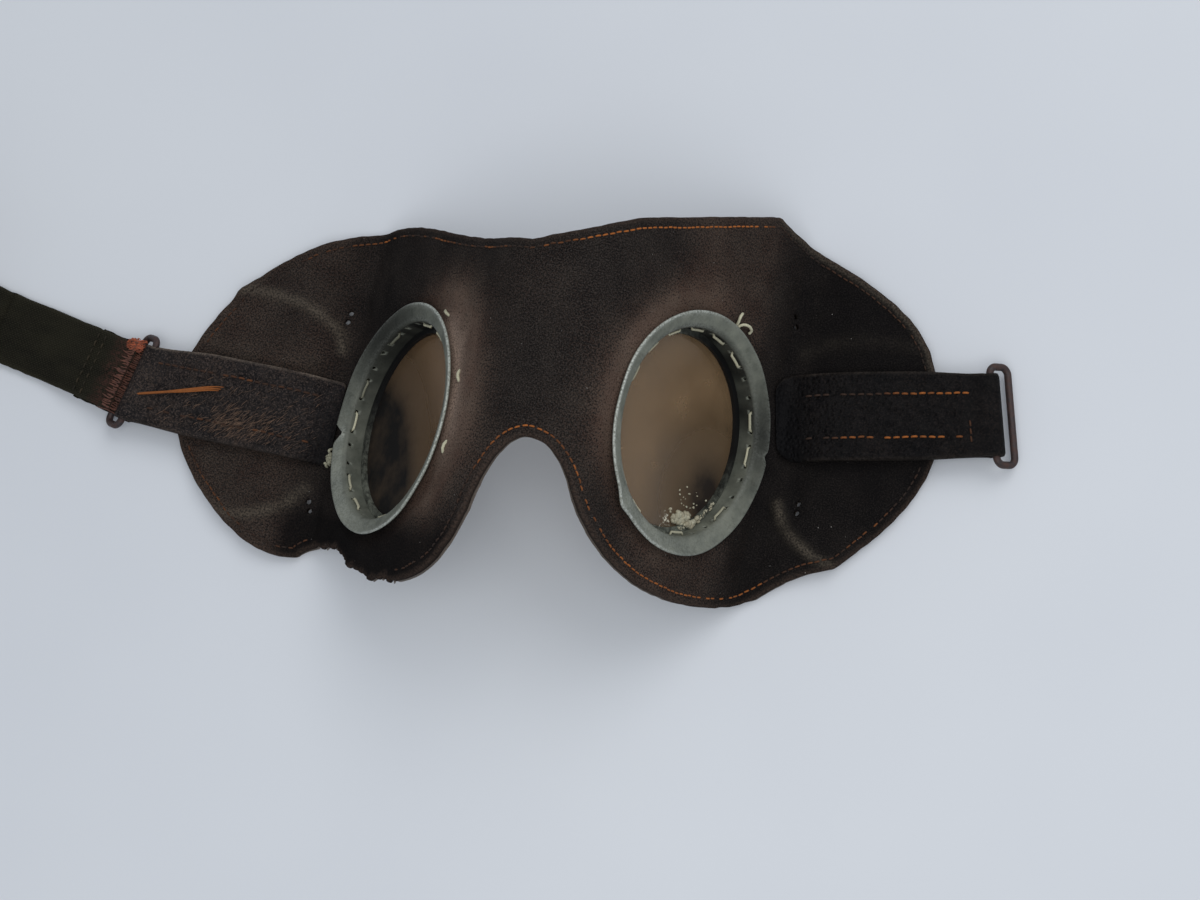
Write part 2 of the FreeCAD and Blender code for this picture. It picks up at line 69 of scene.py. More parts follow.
# The mask's section and outline
LEATHER = 1.8
LINING = 0.8
PLY_GAP = 0.05
ARCH = radians(8.5)
CROWN_HEIGHT = 60.0
CROWN_RADIUS = {"left": 20.0, "right": 15.0}
VALLEY_RADIUS = 5.0
VALLEY_LEVEL = 2.22
WING_RISE_RUN = 14.0
WING_LEVEL = VALLEY_LEVEL + WING_RISE_RUN * tan(radians(10))
WING_CREST_RADIUS = 30.0
SECTION_END = 130.0
BEND_STEPS = 24
BRIDGE_U = 2.5
BRIDGE_BEND = 7.0
BRIDGE_X = 2.0
RING_CENTRE = {"left": Vector((-37.9, -0.6, 27.6)), "right": Vector((36.2, -1.0, 30.2))}
RING_TILT = {"left": radians(50), "right": radians(57)}
LEATHER_DROP = 1.87
OPENING = 25.3
LINING_OPENING = 26.0
VENT_RADIUS = 0.7
SEAM_INSET = 2.3

BROW_RIGHT = [(-1, 36.6), (14, 39.6), (34, 47.5), (52.5, 55.5)]
WING_RIGHT = [(52.5, 55.5), (64, 48.5), (76, 41), (86, 32), (91.5, 19), (91, -2), (84, -14), (69, -28)]
CHEEK_RIGHT = [(69, -28), (58, -31.5), (47, -38), (37, -40.3), (28, -38.6), (20, -32.8), (13.5, -22)]
NOSE = [(13.5, -22), (8.2, -12), (1, -8.6), (-5.4, -13), (-11.5, -25)]
CHEEK_LEFT = [(-11.5, -25), (-17.5, -34.5), (-27, -40), (-37, -39.5), (-47, -35.5)]
TORN_EDGE = [(-47, -35.5), (-52, -31.5), (-57, -32.2), (-64, -34)]
WING_LEFT = [(-64, -34), (-76, -30.3), (-88, -20), (-96, -8), (-98.5, 4), (-96, 18), (-84.5, 35)]
BROW_LEFT = [(-84.5, 35), (-75, 42), (-60, 48.6), (-43, 50.6), (-28, 45.5), (-15, 40), (-1, 36.6)]
OUTLINE = [BROW_RIGHT, WING_RIGHT, CHEEK_RIGHT, NOSE, CHEEK_LEFT, TORN_EDGE, WING_LEFT, BROW_LEFT]
VENTS = [(-55.8, 29.9), (-56.4, 27.6), (-62.2, -18.7), (-61.8, -21.0),
         (56.5, 33.4), (56.8, 31.0), (59.5, -12.7), (59.2, -15.0)]

# Strap tabs and wire loops
TAB_LIFT = 0.1
TAB_PLY = 1.3
TAB_SKIN = TAB_PLY - 0.06
TAB_WIDTH = 21.5
TAB_END_WIDTH = 20.0
TAB_START = {"left": Vector((-57.2, 1.1, 0)), "right": Vector((55.2, 7.9, 0))}
TAB_END = {"left": Vector((-108.4, 8.6, 0)), "right": Vector((105.0, 10.8, 0))}
TAB_END_TURN = {"left": radians(20), "right": radians(7)}
TAB_ROW = {"left": 6.0, "right": 5.3}
WIRE_SPACE = 0.95
THREAD_REACH = 3.03
TAB_GAP = 1.9

# Strap
STRAP_WIDTH = 19.0
STRAP = 1.9
FOLD_PLY = 1.2
STRAP_POINTS = [(0, 0, 4.8), (3.4, 0, 4.8), (8.5, 0, 3.2), (13.5, 0, 2.95), (19.5, 0, 1.3), (26, 0, 0.95),
                (38, 0.35, 0.95), (50, 0.1, 0.95), (61.7, 0.35, 0.95)]
ROLL_CENTRE = 72.0
ROLL_RADIUS = 28.0
ROLL_TURNS = 2.5
ROLL_PITCH = 7.2
ROLL_STEPS = 16
FLAT_RUN = 40
RIB_PITCH = 1.05
PICK_PITCH = 0.9

fold_point = Vector(JOINTS["bridge_fold"]["pos_m"]) / MM
SHIFT = Vector((fold_point.x - BRIDGE_U * cos(ARCH), fold_point.y + BRIDGE_U * sin(ARCH), 0))
STRAP_FOOT = Vector(JOINTS["strap_swing"]["pos_m"]) / MM - SHIFT
STRAP_SWING = radians(JOINTS["strap_swing"]["range_deg"][1])


def place(p):
    """A point of the mask's own frame, in the row frame and in metres."""
    return (Vector(p) + SHIFT) * MM


def show(name, data):
    """An object in the scene for a mesh, curve, lamp or camera."""
    obj = bpy.data.objects.new(name, data)
    bpy.context.scene.collection.objects.link(obj)
    return obj


# ---------------------------------------------------------------- camera

CAMERA_AIM = Vector((19.7, -11.4, 15.0)) * MM
CAMERA_TURNS = [(8.03, "Y"), (8.89, "X"), (4.17, "Z")]
CAMERA_DISTANCE = 0.5084
CAMERA_LENS = 63.4


def make_camera():
    data = bpy.data.cameras.new("camera")
    data.lens = CAMERA_LENS
    camera = show("camera", data)
    stand = Matrix.Translation(CAMERA_AIM)
    for degrees, axis in CAMERA_TURNS:
        stand @= Matrix.Rotation(radians(degrees), 4, axis)
    camera.matrix_world = stand @ Matrix.Translation(UP * CAMERA_DISTANCE)
    bpy.context.scene.camera = camera


# ---------------------------------------------------------------- shaders

# Places of the Mix node's colour sockets
MIX_FACTOR, MIX_A, MIX_B, MIX_RESULT = 0, 6, 7, 2


class Paint:
    """A Principled material with short calls for the nodes that feed it."""

    def __init__(self, name, roughness=0.8, metallic=0.0, coords=None):
        self.material = bpy.data.materials.new(name)
        self.material.use_nodes = True
        self.tree = self.material.node_tree
        self.shader = self.tree.nodes["Principled BSDF"]
        self.shader.inputs["Roughness"].default_value = roughness
        self.shader.inputs["Metallic"].default_value = metallic
        if coords:
            self.place = self.node("Attribute", {}, attribute_name=coords).outputs["Vector"]
        else:
            self.place = self.node("TexCoord", {}).outputs["Object"]

    def feed(self, socket, value):
        if isinstance(value, bpy.types.NodeSocket):
            self.tree.links.new(value, socket)
        else:
            socket.default_value = value

    def node(self, kind, inputs, **settings):
        made = self.tree.nodes.new("ShaderNode" + kind)
        for key, value in settings.items():
            setattr(made, key, value)
        for key, value in inputs.items():
            self.feed(made.inputs[key], value)
        return made

    def set(self, key, value):
        self.feed(self.shader.inputs[key], value)

    def noise(self, size, detail=3.0, rough=0.55, vector=None):
        """Smooth noise with features of about size millimetres."""
        inputs = {"Vector": vector or self.place, "Scale": 1 / (size * MM), "Detail": detail,
                  "Roughness": rough}
        return self.node("TexNoise", inputs).outputs["Fac"]

    def cells(self, size):
        inputs = {"Vector": self.place, "Scale": 1 / (size * MM)}
        return self.node("TexVoronoi", inputs).outputs["Distance"]

    def stretched(self, x, y, z):
        return self.node("Mapping", {"Vector": self.place, "Scale": (x, y, z)}).outputs["Vector"]

    def value(self, name):
        return self.node("Attribute", {}, attribute_name=name).outputs["Fac"]

    def fit(self, value, low, high, to_low=0.0, to_high=1.0):
        inputs = {"Value": value, "From Min": low, "From Max": high, "To Min": to_low, "To Max": to_high}
        return self.node("MapRange", inputs).outputs["Result"]

    def near(self, spot, inner, outer):
        """1 close to a place, falling to 0 between two distances in millimetres."""
        away = self.node("VectorMath", {0: self.place, 1: tuple(spot)}, operation="DISTANCE")
        return self.fit(away.outputs["Value"], inner * MM, outer * MM, 1.0, 0.0)

    def maths(self, operation, a, b=0.0):
        return self.node("Math", {0: a, 1: b}, operation=operation).outputs[0]

    def plus(self, a, b):
        return self.maths("ADD", a, b)

    def times(self, a, b):
        return self.maths("MULTIPLY", a, b)

    def mix(self, factor, a, b):
        a, b = [c if isinstance(c, bpy.types.NodeSocket) else (*c, 1) for c in (a, b)]
        made = self.node("Mix", {MIX_FACTOR: factor, MIX_A: a, MIX_B: b}, data_type="RGBA")
        return made.outputs[MIX_RESULT]

    def bump(self, height, distance, strength=1.0, under=None):
        """Raised detail of distance millimetres."""
        inputs = {"Height": height, "Distance": distance * MM, "Strength": strength}
        if under:
            inputs["Normal"] = under
        return self.node("Bump", inputs).outputs["Normal"]


def leather_material():
    p = Paint("suede_leather", 0.92, coords="flat")
    nap = p.noise(0.33, 2, 0.75)
    speckle = p.noise(0.5, 3, 0.65)
    cloud = p.noise(9.0, 4, 0.6)
    worn = p.value("wear")
    dark = p.mix(p.fit(cloud, 0.35, 0.7), (0.0088, 0.008, 0.0079), (0.0205, 0.0172, 0.0155))
    rubbed = p.mix(p.fit(cloud, 0.3, 0.7), (0.085, 0.047, 0.034), (0.125, 0.088, 0.066))
    lean = p.plus(speckle, p.times(worn, 0.17))
    share = p.times(worn, p.fit(lean, 0.5, 0.62))
    colour = p.mix(share, dark, rubbed)
    flecks = p.fit(p.noise(1.5, 4, 0.75), 0.55, 0.7, 0, 0.5)
    colour = p.mix(flecks, colour, (0.05, 0.041, 0.036))
    colour = p.mix(p.fit(nap, 0.5, 0.68, 0, 0.6), colour, (0.072, 0.062, 0.055))
    colour = p.mix(p.fit(nap, 0.52, 0.34, 0, 0.75), colour, (0.003, 0.003, 0.003))
    # Painted shade: the leather is darkened in the valleys, round the rings' outer sides and on the right
    # wing.
    colour = p.mix(p.times(p.value("sheltered"), 0.85), colour, (0.0035, 0.0033, 0.0037))
    # Crease tops paler: partly rubbed nap, partly a painted highlight along the ridge.
    scuff = p.times(p.value("scuff"), p.fit(speckle, 0.4, 0.65, 0.15, 1.0))
    colour = p.mix(scuff, colour, (0.11, 0.092, 0.07))
    edge = p.times(p.value("rim"), p.fit(speckle, 0.35, 0.6, 0.1, 0.75))
    colour = p.mix(edge, colour, (0.06, 0.041, 0.032))
    # Painted highlight: a pale band against each ring's nose side.
    halo = p.times(p.value("halo"), p.fit(speckle, 0.35, 0.6, 0.25, 1.0))
    colour = p.mix(halo, colour, (0.46, 0.34, 0.27))
    dust = p.fit(p.noise(0.75, 2, 0.5, p.stretched(1, 0.93, 1)), 0.765, 0.79, 0, 0.9)
    colour = p.mix(dust, colour, (0.4, 0.38, 0.35))
    p.set("Base Color", colour)
    p.set("Roughness", p.fit(speckle, 0.3, 0.7, 0.97, 0.85))
    p.set("Specular IOR Level", 0.03)
    grain = p.plus(p.times(nap, 0.5), speckle)
    p.set("Normal", p.bump(grain, 0.2, 0.9, p.bump(p.noise(3.0, 3, 0.5), 0.5, 0.6)))
    return p.material


def lining_material():
    p = Paint("felt_lining", 0.95, coords="flat")
    fibre = p.noise(0.35, 4, 0.7, p.stretched(1, 0.35, 1))
    patch = p.noise(14, 3, 0.5)
    colour = p.mix(p.fit(fibre, 0.3, 0.7), (0.06, 0.045, 0.035), (0.15, 0.12, 0.095))
    p.set("Base Color", p.mix(p.fit(patch, 0.45, 0.65, 0, 0.5), colour, (0.05, 0.038, 0.032)))
    p.set("Sheen Weight", 0.3)
    p.set("Normal", p.bump(fibre, 0.2, 0.9))
    return p.material


def thread_material(name, clean, dirty, twist=0.35):
    p = Paint(name, 0.8)
    p.set("Specular IOR Level", 0.15)
    fibre = p.noise(twist, 3, 0.6)
    tone = p.value("tone")
    colour = p.mix(p.fit(fibre, 0.3, 0.7, 0, 0.6), clean, tuple(c * 0.45 for c in clean))
    p.set("Base Color", p.mix(tone, dirty, colour))
    p.set("Normal", p.bump(fibre, 0.08, 0.8))
    return p.material


def ring_material():
    p = Paint("ring_paint", 0.5)
    cloud = p.noise(5.0, 5, 0.6)
    fine = p.noise(0.5, 4, 0.65)
    paint = p.mix(p.fit(cloud, 0.3, 0.7), (0.092, 0.1, 0.08), (0.2, 0.207, 0.165))
    stain = p.fit(p.noise(2.2, 5, 0.7), 0.56, 0.72, 0, 0.7)
    paint = p.mix(stain, paint, (0.06, 0.062, 0.045))
    # Bare metal at the rim: partly real rubbing, partly a painted highlight on the nose side and low on the
    # ring.
    bare_and_highlight = p.times(p.value("rubbed"), p.fit(fine, 0.35, 0.6))
    # Real grime and painted shade darken the paint.
    coat = p.mix(p.value("grime"), paint, (0.009, 0.009, 0.0085))
    p.set("Specular IOR Level", p.fit(p.value("grime"), 0, 1, 0.4, 0.05))
    p.set("Base Color", p.mix(bare_and_highlight, coat, (0.5, 0.52, 0.47)))
    p.set("Metallic", p.times(bare_and_highlight, 0.5))
    p.set("Roughness", p.fit(cloud, 0.3, 0.7, 0.38, 0.62))
    p.set("Normal", p.bump(fine, 0.03, 0.7, p.bump(cloud, 0.3, 0.5)))
    return p.material


def steel_material(side):
    """The retaining ring's metal, near black, with painted shade darkening it round one place."""
    p = Paint("retaining_steel_" + side, 0.5, 0.2)
    cloud = p.noise(1.6, 5, 0.7)
    colour = p.mix(p.fit(cloud, 0.38, 0.62), (0.035, 0.037, 0.03), (0.2, 0.21, 0.17))
    # Painted shade round one place on the ring.
    shade_spot = p.near(in_ring(side, *RETAINER_SHADE[side]), 14, 34)
    p.set("Base Color", p.mix(shade_spot, colour, (0.008, 0.008, 0.008)))
    p.set("Specular IOR Level", 0.25)
    p.set("Normal", p.bump(p.noise(0.4, 3, 0.6), 0.03))
    return p.material


def wire_material():
    p = Paint("rusty_wire", 0.6, 0.35)
    rust = p.noise(1.3, 5, 0.7)
    pits = p.noise(0.35, 3, 0.6)
    colour = p.mix(p.fit(rust, 0.35, 0.65), (0.026, 0.022, 0.024), (0.075, 0.04, 0.033))
    p.set("Base Color", p.mix(p.fit(pits, 0.6, 0.75, 0, 0.5), colour, (0.15, 0.085, 0.06)))
    p.set("Roughness", p.fit(rust, 0.3, 0.7, 0.32, 0.8))
    p.set("Normal", p.bump(pits, 0.1, 0.9, p.bump(rust, 0.15)))
    return p.material


def gasket_material():
    p = Paint("gasket_fibre", 0.9)
    fibre = p.noise(0.6, 4, 0.6)
    p.set("Base Color", p.mix(p.fit(fibre, 0.35, 0.65), (0.2, 0.17, 0.11), (0.45, 0.4, 0.28)))
    p.set("Normal", p.bump(fibre, 0.08))
    return p.material


def glass_material(side):
    """Amber glass with a film of grime, painted shade darkening it towards one place, and crumbs at another.
    """
    p = Paint("amber_glass_" + side, 0.1)
    look = GLASS_LOOK[side]
    film = p.noise(7.0, 5, 0.6)
    dusty = p.near(in_ring(side, *look["crumbs_at"]), 0.0, look["crumb_reach"])
    crumbs = p.plus(p.noise(0.9, 4, 0.7), p.times(dusty, 0.42))
    crumb_share = p.fit(crumbs, 0.86, 0.9, 0, 1)
    haze = p.fit(film, 0.35, 0.75, *look["haze"])
    # Painted shade: the glass is darkened and clouded towards shade_at, standing for the shadow seen through
    # it.
    shade = p.times(p.near(in_ring(side, *look["shade_at"]), *look["shade_reach"]),
                    p.fit(film, 0.2, 0.6, 0.88, 1.0))
    layer = p.mix(shade, look["film"], look["dark"])
    haze = p.maths("MAXIMUM", haze, p.times(shade, 0.97))
    glass = p.mix(p.fit(haze, 0, 0.3), look["glass"], layer)
    p.set("Base Color", p.mix(crumb_share, glass, (0.62, 0.58, 0.46)))
    cover = p.maths("MAXIMUM", haze, crumb_share)
    p.set("Transmission Weight", p.fit(cover, 0, 1, 1, 0))
    p.set("Roughness", p.fit(cover, 0, 1, 0.06, 0.6))
    p.set("IOR", 1.5)
    p.set("Specular IOR Level", 0.12)
    p.set("Normal", p.bump(crumb_share, 0.3, 0.6))
    return p.material


def tab_material(side):
    scuff, light, grit = TAB_LOOK[side]
    p = Paint("tab_leather_" + side, 0.5)
    pebble = p.cells(1.05)
    fine = p.noise(0.35, 3, 0.6)
    crease = p.noise(2.6, 5, 0.65, p.stretched(0.7, 1.3, 1))
    shades = (0.0062, 0.0062, 0.0072), (0.017, 0.0155, 0.016)
    low, high = [tuple(c * light for c in shade) for shade in shades]
    colour = p.mix(p.fit(crease, 0.35, 0.7), low, high)
    scuffed = p.times(p.value("wear"), p.fit(p.noise(0.6, 4, 0.75), 0.46, 0.66, 0, scuff))
    colour = p.mix(scuffed, colour, (0.1, 0.068, 0.05))
    colour = p.mix(p.fit(p.noise(0.4, 2, 0.8), 0.5, 0.68, 0, grit), colour, (0.085, 0.064, 0.055))
    # Pale edges: the raw edge's own colour with a painted highlight.
    edge = p.times(p.value("rim"), p.fit(fine, 0.35, 0.6, 0.3, 0.9))
    colour = p.mix(edge, colour, (0.24, 0.19, 0.15))
    # Painted shade over the tab's near end, where it tucks against the ring.
    p.set("Base Color", p.mix(p.value("sheltered"), colour, (0.004, 0.004, 0.0045)))
    p.set("Roughness", p.fit(fine, 0.3, 0.7, 0.42, 0.7))
    p.set("Specular IOR Level", 0.05)
    height = p.plus(p.times(p.fit(pebble, 0, 0.6), p.value("pebble")), p.times(crease, 1.3))
    p.set("Normal", p.bump(height, 0.28, 1.0, p.bump(fine, 0.06)))
    return p.material


def web_material():
    """Woven elastic: ribs along the strap, a plain weave over them, browner where it is abraded."""
    p = Paint("elastic_web", 0.9, coords="flat")
    split = p.node("SeparateXYZ", {"Vector": p.place})
    along, across = split.outputs["X"], split.outputs["Y"]
    rib = p.maths("SINE", p.times(across, TURN / (RIB_PITCH * MM)))
    phase = p.times(p.maths("SIGN", rib), pi / 2)
    pick = p.maths("SINE", p.plus(p.times(along, TURN / (PICK_PITCH * MM)), phase))
    weave = p.plus(p.times(p.maths("ABSOLUTE", rib), 0.6), p.times(pick, 0.4))
    fuzz = p.noise(0.35, 4, 0.7)
    patch = p.noise(6.0, 4, 0.6, p.stretched(0.4, 1, 1))
    colour = p.mix(p.fit(patch, 0.35, 0.65), (0.007, 0.0065, 0.0045), (0.016, 0.0145, 0.009))
    colour = p.mix(p.fit(weave, 0.2, 1.0, 0, 0.55), colour, (0.027, 0.025, 0.016))
    colour = p.mix(p.fit(fuzz, 0.55, 0.75, 0, 0.4), colour, (0.05, 0.045, 0.031))
    colour = p.mix(p.times(p.value("rim"), 0.5), colour, (0.045, 0.041, 0.026))
    torn = p.times(p.value("wear"), p.fit(p.noise(0.8, 4, 0.7), 0.4, 0.6))
    colour = p.mix(torn, colour, (0.05, 0.024, 0.018))
    p.set("Base Color", colour)
    p.set("Specular IOR Level", 0.1)
    p.set("Normal", p.bump(p.plus(weave, fuzz), 0.22, 0.9))
    return p.material


def rubber_material():
    p = Paint("strand_rubber", 0.7)
    cloud = p.noise(1.2, 4, 0.6)
    colour = p.mix(p.fit(cloud, 0.3, 0.7), (0.06, 0.032, 0.027), (0.13, 0.06, 0.042))
    p.set("Base Color", p.mix(p.value("tone"), colour, (0.4, 0.1, 0.045)))
    p.set("Specular IOR Level", 0.2)
    p.set("Normal", p.bump(p.noise(0.3, 3, 0.6), 0.06))
    return p.material


# ---------------------------------------------------------------- pieces

def piece(name, points, faces, material):
    mesh = bpy.data.meshes.new(name)
    mesh.from_pydata([place(p) for p in points], [], faces)
    work = bmesh.new()
    work.from_mesh(mesh)
    bmesh.ops.recalc_face_normals(work, faces=work.faces)
    work.to_mesh(mesh)
    work.free()
    mesh.polygons.foreach_set("use_smooth", [True] * len(mesh.polygons))
    mesh.materials.append(material)
    obj = show(name, mesh)
    return obj


def give(obj, **attributes):
    """Store numbers, or millimetre vectors as metres, on a piece's points."""
    for name, values in attributes.items():
        if isinstance(values[0], (int, float)):
            obj.data.attributes.new(name, "FLOAT", "POINT").data.foreach_set("value", values)
        else:
            flat = [c * MM for v in values for c in v]
            obj.data.attributes.new(name, "FLOAT_VECTOR", "POINT").data.foreach_set("vector", flat)


def ramp(value, low, high):
    """0 below low, 1 above high and smooth between them."""
    t = min(max((value - low) / (high - low), 0), 1)
    return t * t * (3 - 2 * t)


def bell(value, width):
    """1 at 0, falling to a third at width."""
    return exp(-(value / width) ** 2)


def mottle(x, y, size, seed=0.0):
    """Smooth noise from -1 to 1."""
    return noise.noise(Vector((x / size, y / size, seed)))


def run_at(path, i):
    """Which way a path runs at one of its points."""
    return (path[min(i + 1, len(path) - 1)] - path[max(i - 1, 0)]).normalized()


def tube_faces(rings, sides, first=0):
    """Faces of a closed tube whose rings of points follow one another."""
    faces = []
    last = first + (rings - 1) * sides
    for base in range(first, last, sides):
        for k in range(sides):
            j = (k + 1) % sides
            faces.append((base + k, base + j, base + sides + j, base + sides + k))
    return faces + [tuple(range(first, first + sides))[::-1], tuple(range(last, last + sides))]


class Bundle:
    """Round threads gathered into one mesh, each with its own tone."""

    def __init__(self):
        self.points = []
        self.faces = []
        self.tones = []

    def tube(self, path, radius, tone=1.0, sides=6, tapered=False):
        self.faces += tube_faces(len(path), sides, len(self.points))
        side = None
        for i, p in enumerate(path):
            run = run_at(path, i)
            guide = side if side else (UP if abs(run.z) < 0.9 else Vector((1, 0, 0))).cross(run)
            side = (guide - run * guide.dot(run)).normalized()
            rise = run.cross(side)
            end = min(i, len(path) - 1 - i)
            size = radius * (0.55 if end == 0 else 1.0)
            if tapered:
                size *= 0.35 + 0.65 * min(1.0, 4 * end / len(path))
            for k in range(sides):
                a = TURN * k / sides
                self.points.append(p + side * (size * cos(a)) + rise * (size * sin(a)))
            self.tones += [tone] * sides

    def piece(self, name, material, slot=None):
        obj = piece(name, self.points, self.faces, material)
        give(obj, tone=self.tones)
        return obj


# ---------------------------------------------------------------- the mask's surface

def to_arch(x, y):
    """A point seen from above, turned so that the mask's section runs along the first axis."""
    return x * cos(ARCH) - y * sin(ARCH), x * sin(ARCH) + y * cos(ARCH)


def from_arch(u, v, z):
    return Vector((u * cos(ARCH) + v * sin(ARCH), -u * sin(ARCH) + v * cos(ARCH), z))


def slope_at(side, z):
    """How far along the section the slope that carries a ring passes a height."""
    s = SIDES[side]
    tilt = RING_TILT[side]
    centre = RING_CENTRE[side]
    u = to_arch(centre.x, centre.y)[0] - s * LEATHER_DROP * sin(tilt)
    level = centre.z - LEATHER_DROP * cos(tilt)
    return u - s * (z - level) / tan(tilt)


def section_samples():
    """Rows of distance walked, u, z and slope along the outer face's section, left to right."""
    corners = []
    radii = []
    for side in ("left", "right"):
        s = SIDES[side]
        valley = slope_at(side, VALLEY_LEVEL)
        half = [(s * SECTION_END, WING_LEVEL), (valley + s * WING_RISE_RUN, WING_LEVEL),
                (valley, VALLEY_LEVEL), (slope_at(side, CROWN_HEIGHT), CROWN_HEIGHT)]
        half_radii = [0, WING_CREST_RADIUS, VALLEY_RADIUS, CROWN_RADIUS[side]]
        corners += half if s < 0 else half[::-1]
        radii += half_radii if s < 0 else half_radii[::-1]
    corners = [Vector(c) for c in corners]
    first = corners[1] - corners[0]
    rows = [(0.0, corners[0].x, corners[0].y, atan2(first.y, first.x))]
    for before, here, after, radius in zip(corners, corners[1:], corners[2:], radii[1:]):
        back = (before - here).normalized()
        on = (after - here).normalized()
        half = acos(max(-1, min(1, -back.dot(on)))) / 2
        centre = here + (back + on).normalized() * radius / cos(half)
        slope_in = atan2(-back.y, -back.x)
        slope_out = atan2(on.y, on.x)
        hump = -1 if slope_out > slope_in else 1
        for k in range(BEND_STEPS + 1):
            slope = slope_in + (slope_out - slope_in) * k / BEND_STEPS
            p = centre + Vector((-sin(slope), cos(slope))) * radius * hump
            step = hypot(p.x - rows[-1][1], p.y - rows[-1][2])
            rows.append((rows[-1][0] + step, p.x, p.y, slope))
    end = corners[-1]
    step = hypot(end.x - rows[-1][1], end.y - rows[-1][2])
    rows.append((rows[-1][0] + step, end.x, end.y, rows[-1][3]))
    return rows


SECTION = section_samples()
SECTION_S = [row[0] for row in SECTION]
SECTION_U = [row[1] for row in SECTION]


def between(keys, value):
    """The section row at a value of its first or second column."""
    i = min(max(bisect.bisect(keys, value), 1), len(keys) - 1)
    t = (value - keys[i - 1]) / (keys[i] - keys[i - 1])
    return [a + (b - a) * t for a, b in zip(SECTION[i - 1], SECTION[i])]


def to_flat(x, y):
    """A point seen from above, as distance along the section and along the arch."""
    u, v = to_arch(x, y)
    return Vector((between(SECTION_U, u)[0], v))


def from_flat(s, v, lift=0.0):
    """The point of the bent mask that a flat place stands for, lifted off its outer face."""
    _, u, z, slope = between(SECTION_S, s)
    return from_arch(u - lift * sin(slope), v, z + lift * cos(slope))


RING_FLAT = {}
for ring_side in SIDES:
    ring_u = slope_at(ring_side, RING_CENTRE[ring_side].z - LEATHER_DROP * cos(RING_TILT[ring_side]))
    ring_v = to_arch(RING_CENTRE[ring_side].x, RING_CENTRE[ring_side].y)[1]
    RING_FLAT[ring_side] = Vector((between(SECTION_U, ring_u)[0], ring_v))
VENTS_FLAT = [to_flat(x, y) for x, y in VENTS]
FOLD_S = between(SECTION_U, BRIDGE_U)[0]


def natural_spline(points, step):
    """Points about every step along a smooth curve through the given ones."""
    pts = np.array(points, float)
    chord = np.r_[0, np.cumsum(np.hypot(*np.diff(pts, axis=0).T))]
    n = len(pts)
    h = np.diff(chord)
    system = np.eye(n)
    right = np.zeros((n, 2))
    for i in range(1, n - 1):
        system[i, i - 1:i + 2] = h[i - 1], 2 * (h[i - 1] + h[i]), h[i]
        right[i] = 6 * ((pts[i + 1] - pts[i]) / h[i] - (pts[i] - pts[i - 1]) / h[i - 1])
    bend = np.linalg.solve(system, right)
    out = []
    for i in range(n - 1):
        count = max(2, round(h[i] / step))
        for k in range(count):
            a = h[i] * k / count
            b = h[i] - a
            p = (bend[i] * b ** 3 + bend[i + 1] * a ** 3) / (6 * h[i])
            p += (pts[i] / h[i] - bend[i] * h[i] / 6) * b
            p += (pts[i + 1] / h[i] - bend[i + 1] * h[i] / 6) * a
            out.append((float(p[0]), float(p[1])))
    return out


def spaced_loop(points, step):
    """A closed loop walked in equal steps."""
    closed = points + points[:1]
    total = sum((b - a).length for a, b in zip(closed, closed[1:]))
    count = round(total / step)
    out = []
    walked = 0.0
    for a, b in zip(closed, closed[1:]):
        length = (b - a).length
        while len(out) < count and len(out) * total / count <= walked + length:
            out.append(a.lerp(b, (len(out) * total / count - walked) / length))
        walked += length
    return out


EDGE_STEP = 0.75
# Where the lower edge is torn, and the deeper bites out of it: x, width, depth
TEAR = (-63, -57, -33, -29)
BITES = [(-59.5, 5.5, 2.8), (-33, 0.6, 1.5)]


def is_torn(x, y):
    """How ragged the edge is here, from 0 to 1."""
    if y > 0:
        return 0.0
    return ramp(x, *TEAR[:2]) * (1 - ramp(x, *TEAR[2:]))


def inward(loop, i):
    """The direction into a loop at one of its points."""
    run = (loop[(i + 1) % len(loop)] - loop[i - 1]).normalized()
    return Vector((run.y, -run.x))


def edge_loop():
    """The mask's edge laid flat, worn a little uneven, and ragged where it is torn."""
    plan = [p for stretch in OUTLINE for p in natural_spline(stretch, EDGE_STEP)]
    loop = spaced_loop([to_flat(x, y) for x, y in plan], EDGE_STEP)
    worn = []
    for i, p in enumerate(loop):
        spot = from_flat(p.x, p.y)
        ragged = mottle(p.x, p.y, 1.2) * 0.9 + mottle(p.x, p.y, 3.2, 4.0) * 1.3
        depth = 0.16 * mottle(p.x, p.y, 2.5, 9.0) + is_torn(spot.x, spot.y) * (0.1 + ragged)
        if spot.y < 0:
            depth += sum(deep * bell(spot.x - x, width) for x, width, deep in BITES)
        worn.append(p + inward(loop, i) * depth)
    return worn


EDGE = edge_loop()
EDGE_TREE = kdtree.KDTree(len(EDGE))
for edge_index, edge_point in enumerate(EDGE):
    EDGE_TREE.insert((edge_point.x, edge_point.y, 0), edge_index)
EDGE_TREE.balance()


def edge_distance(p):
    """How far a flat point is from the nearest point of the mask's edge."""
    return EDGE_TREE.find((p.x, p.y, 0))[2]


def inset_edge(inset):
    """The edge's points moved inwards."""
    return [p + inward(EDGE, i) * inset for i, p in enumerate(EDGE)]


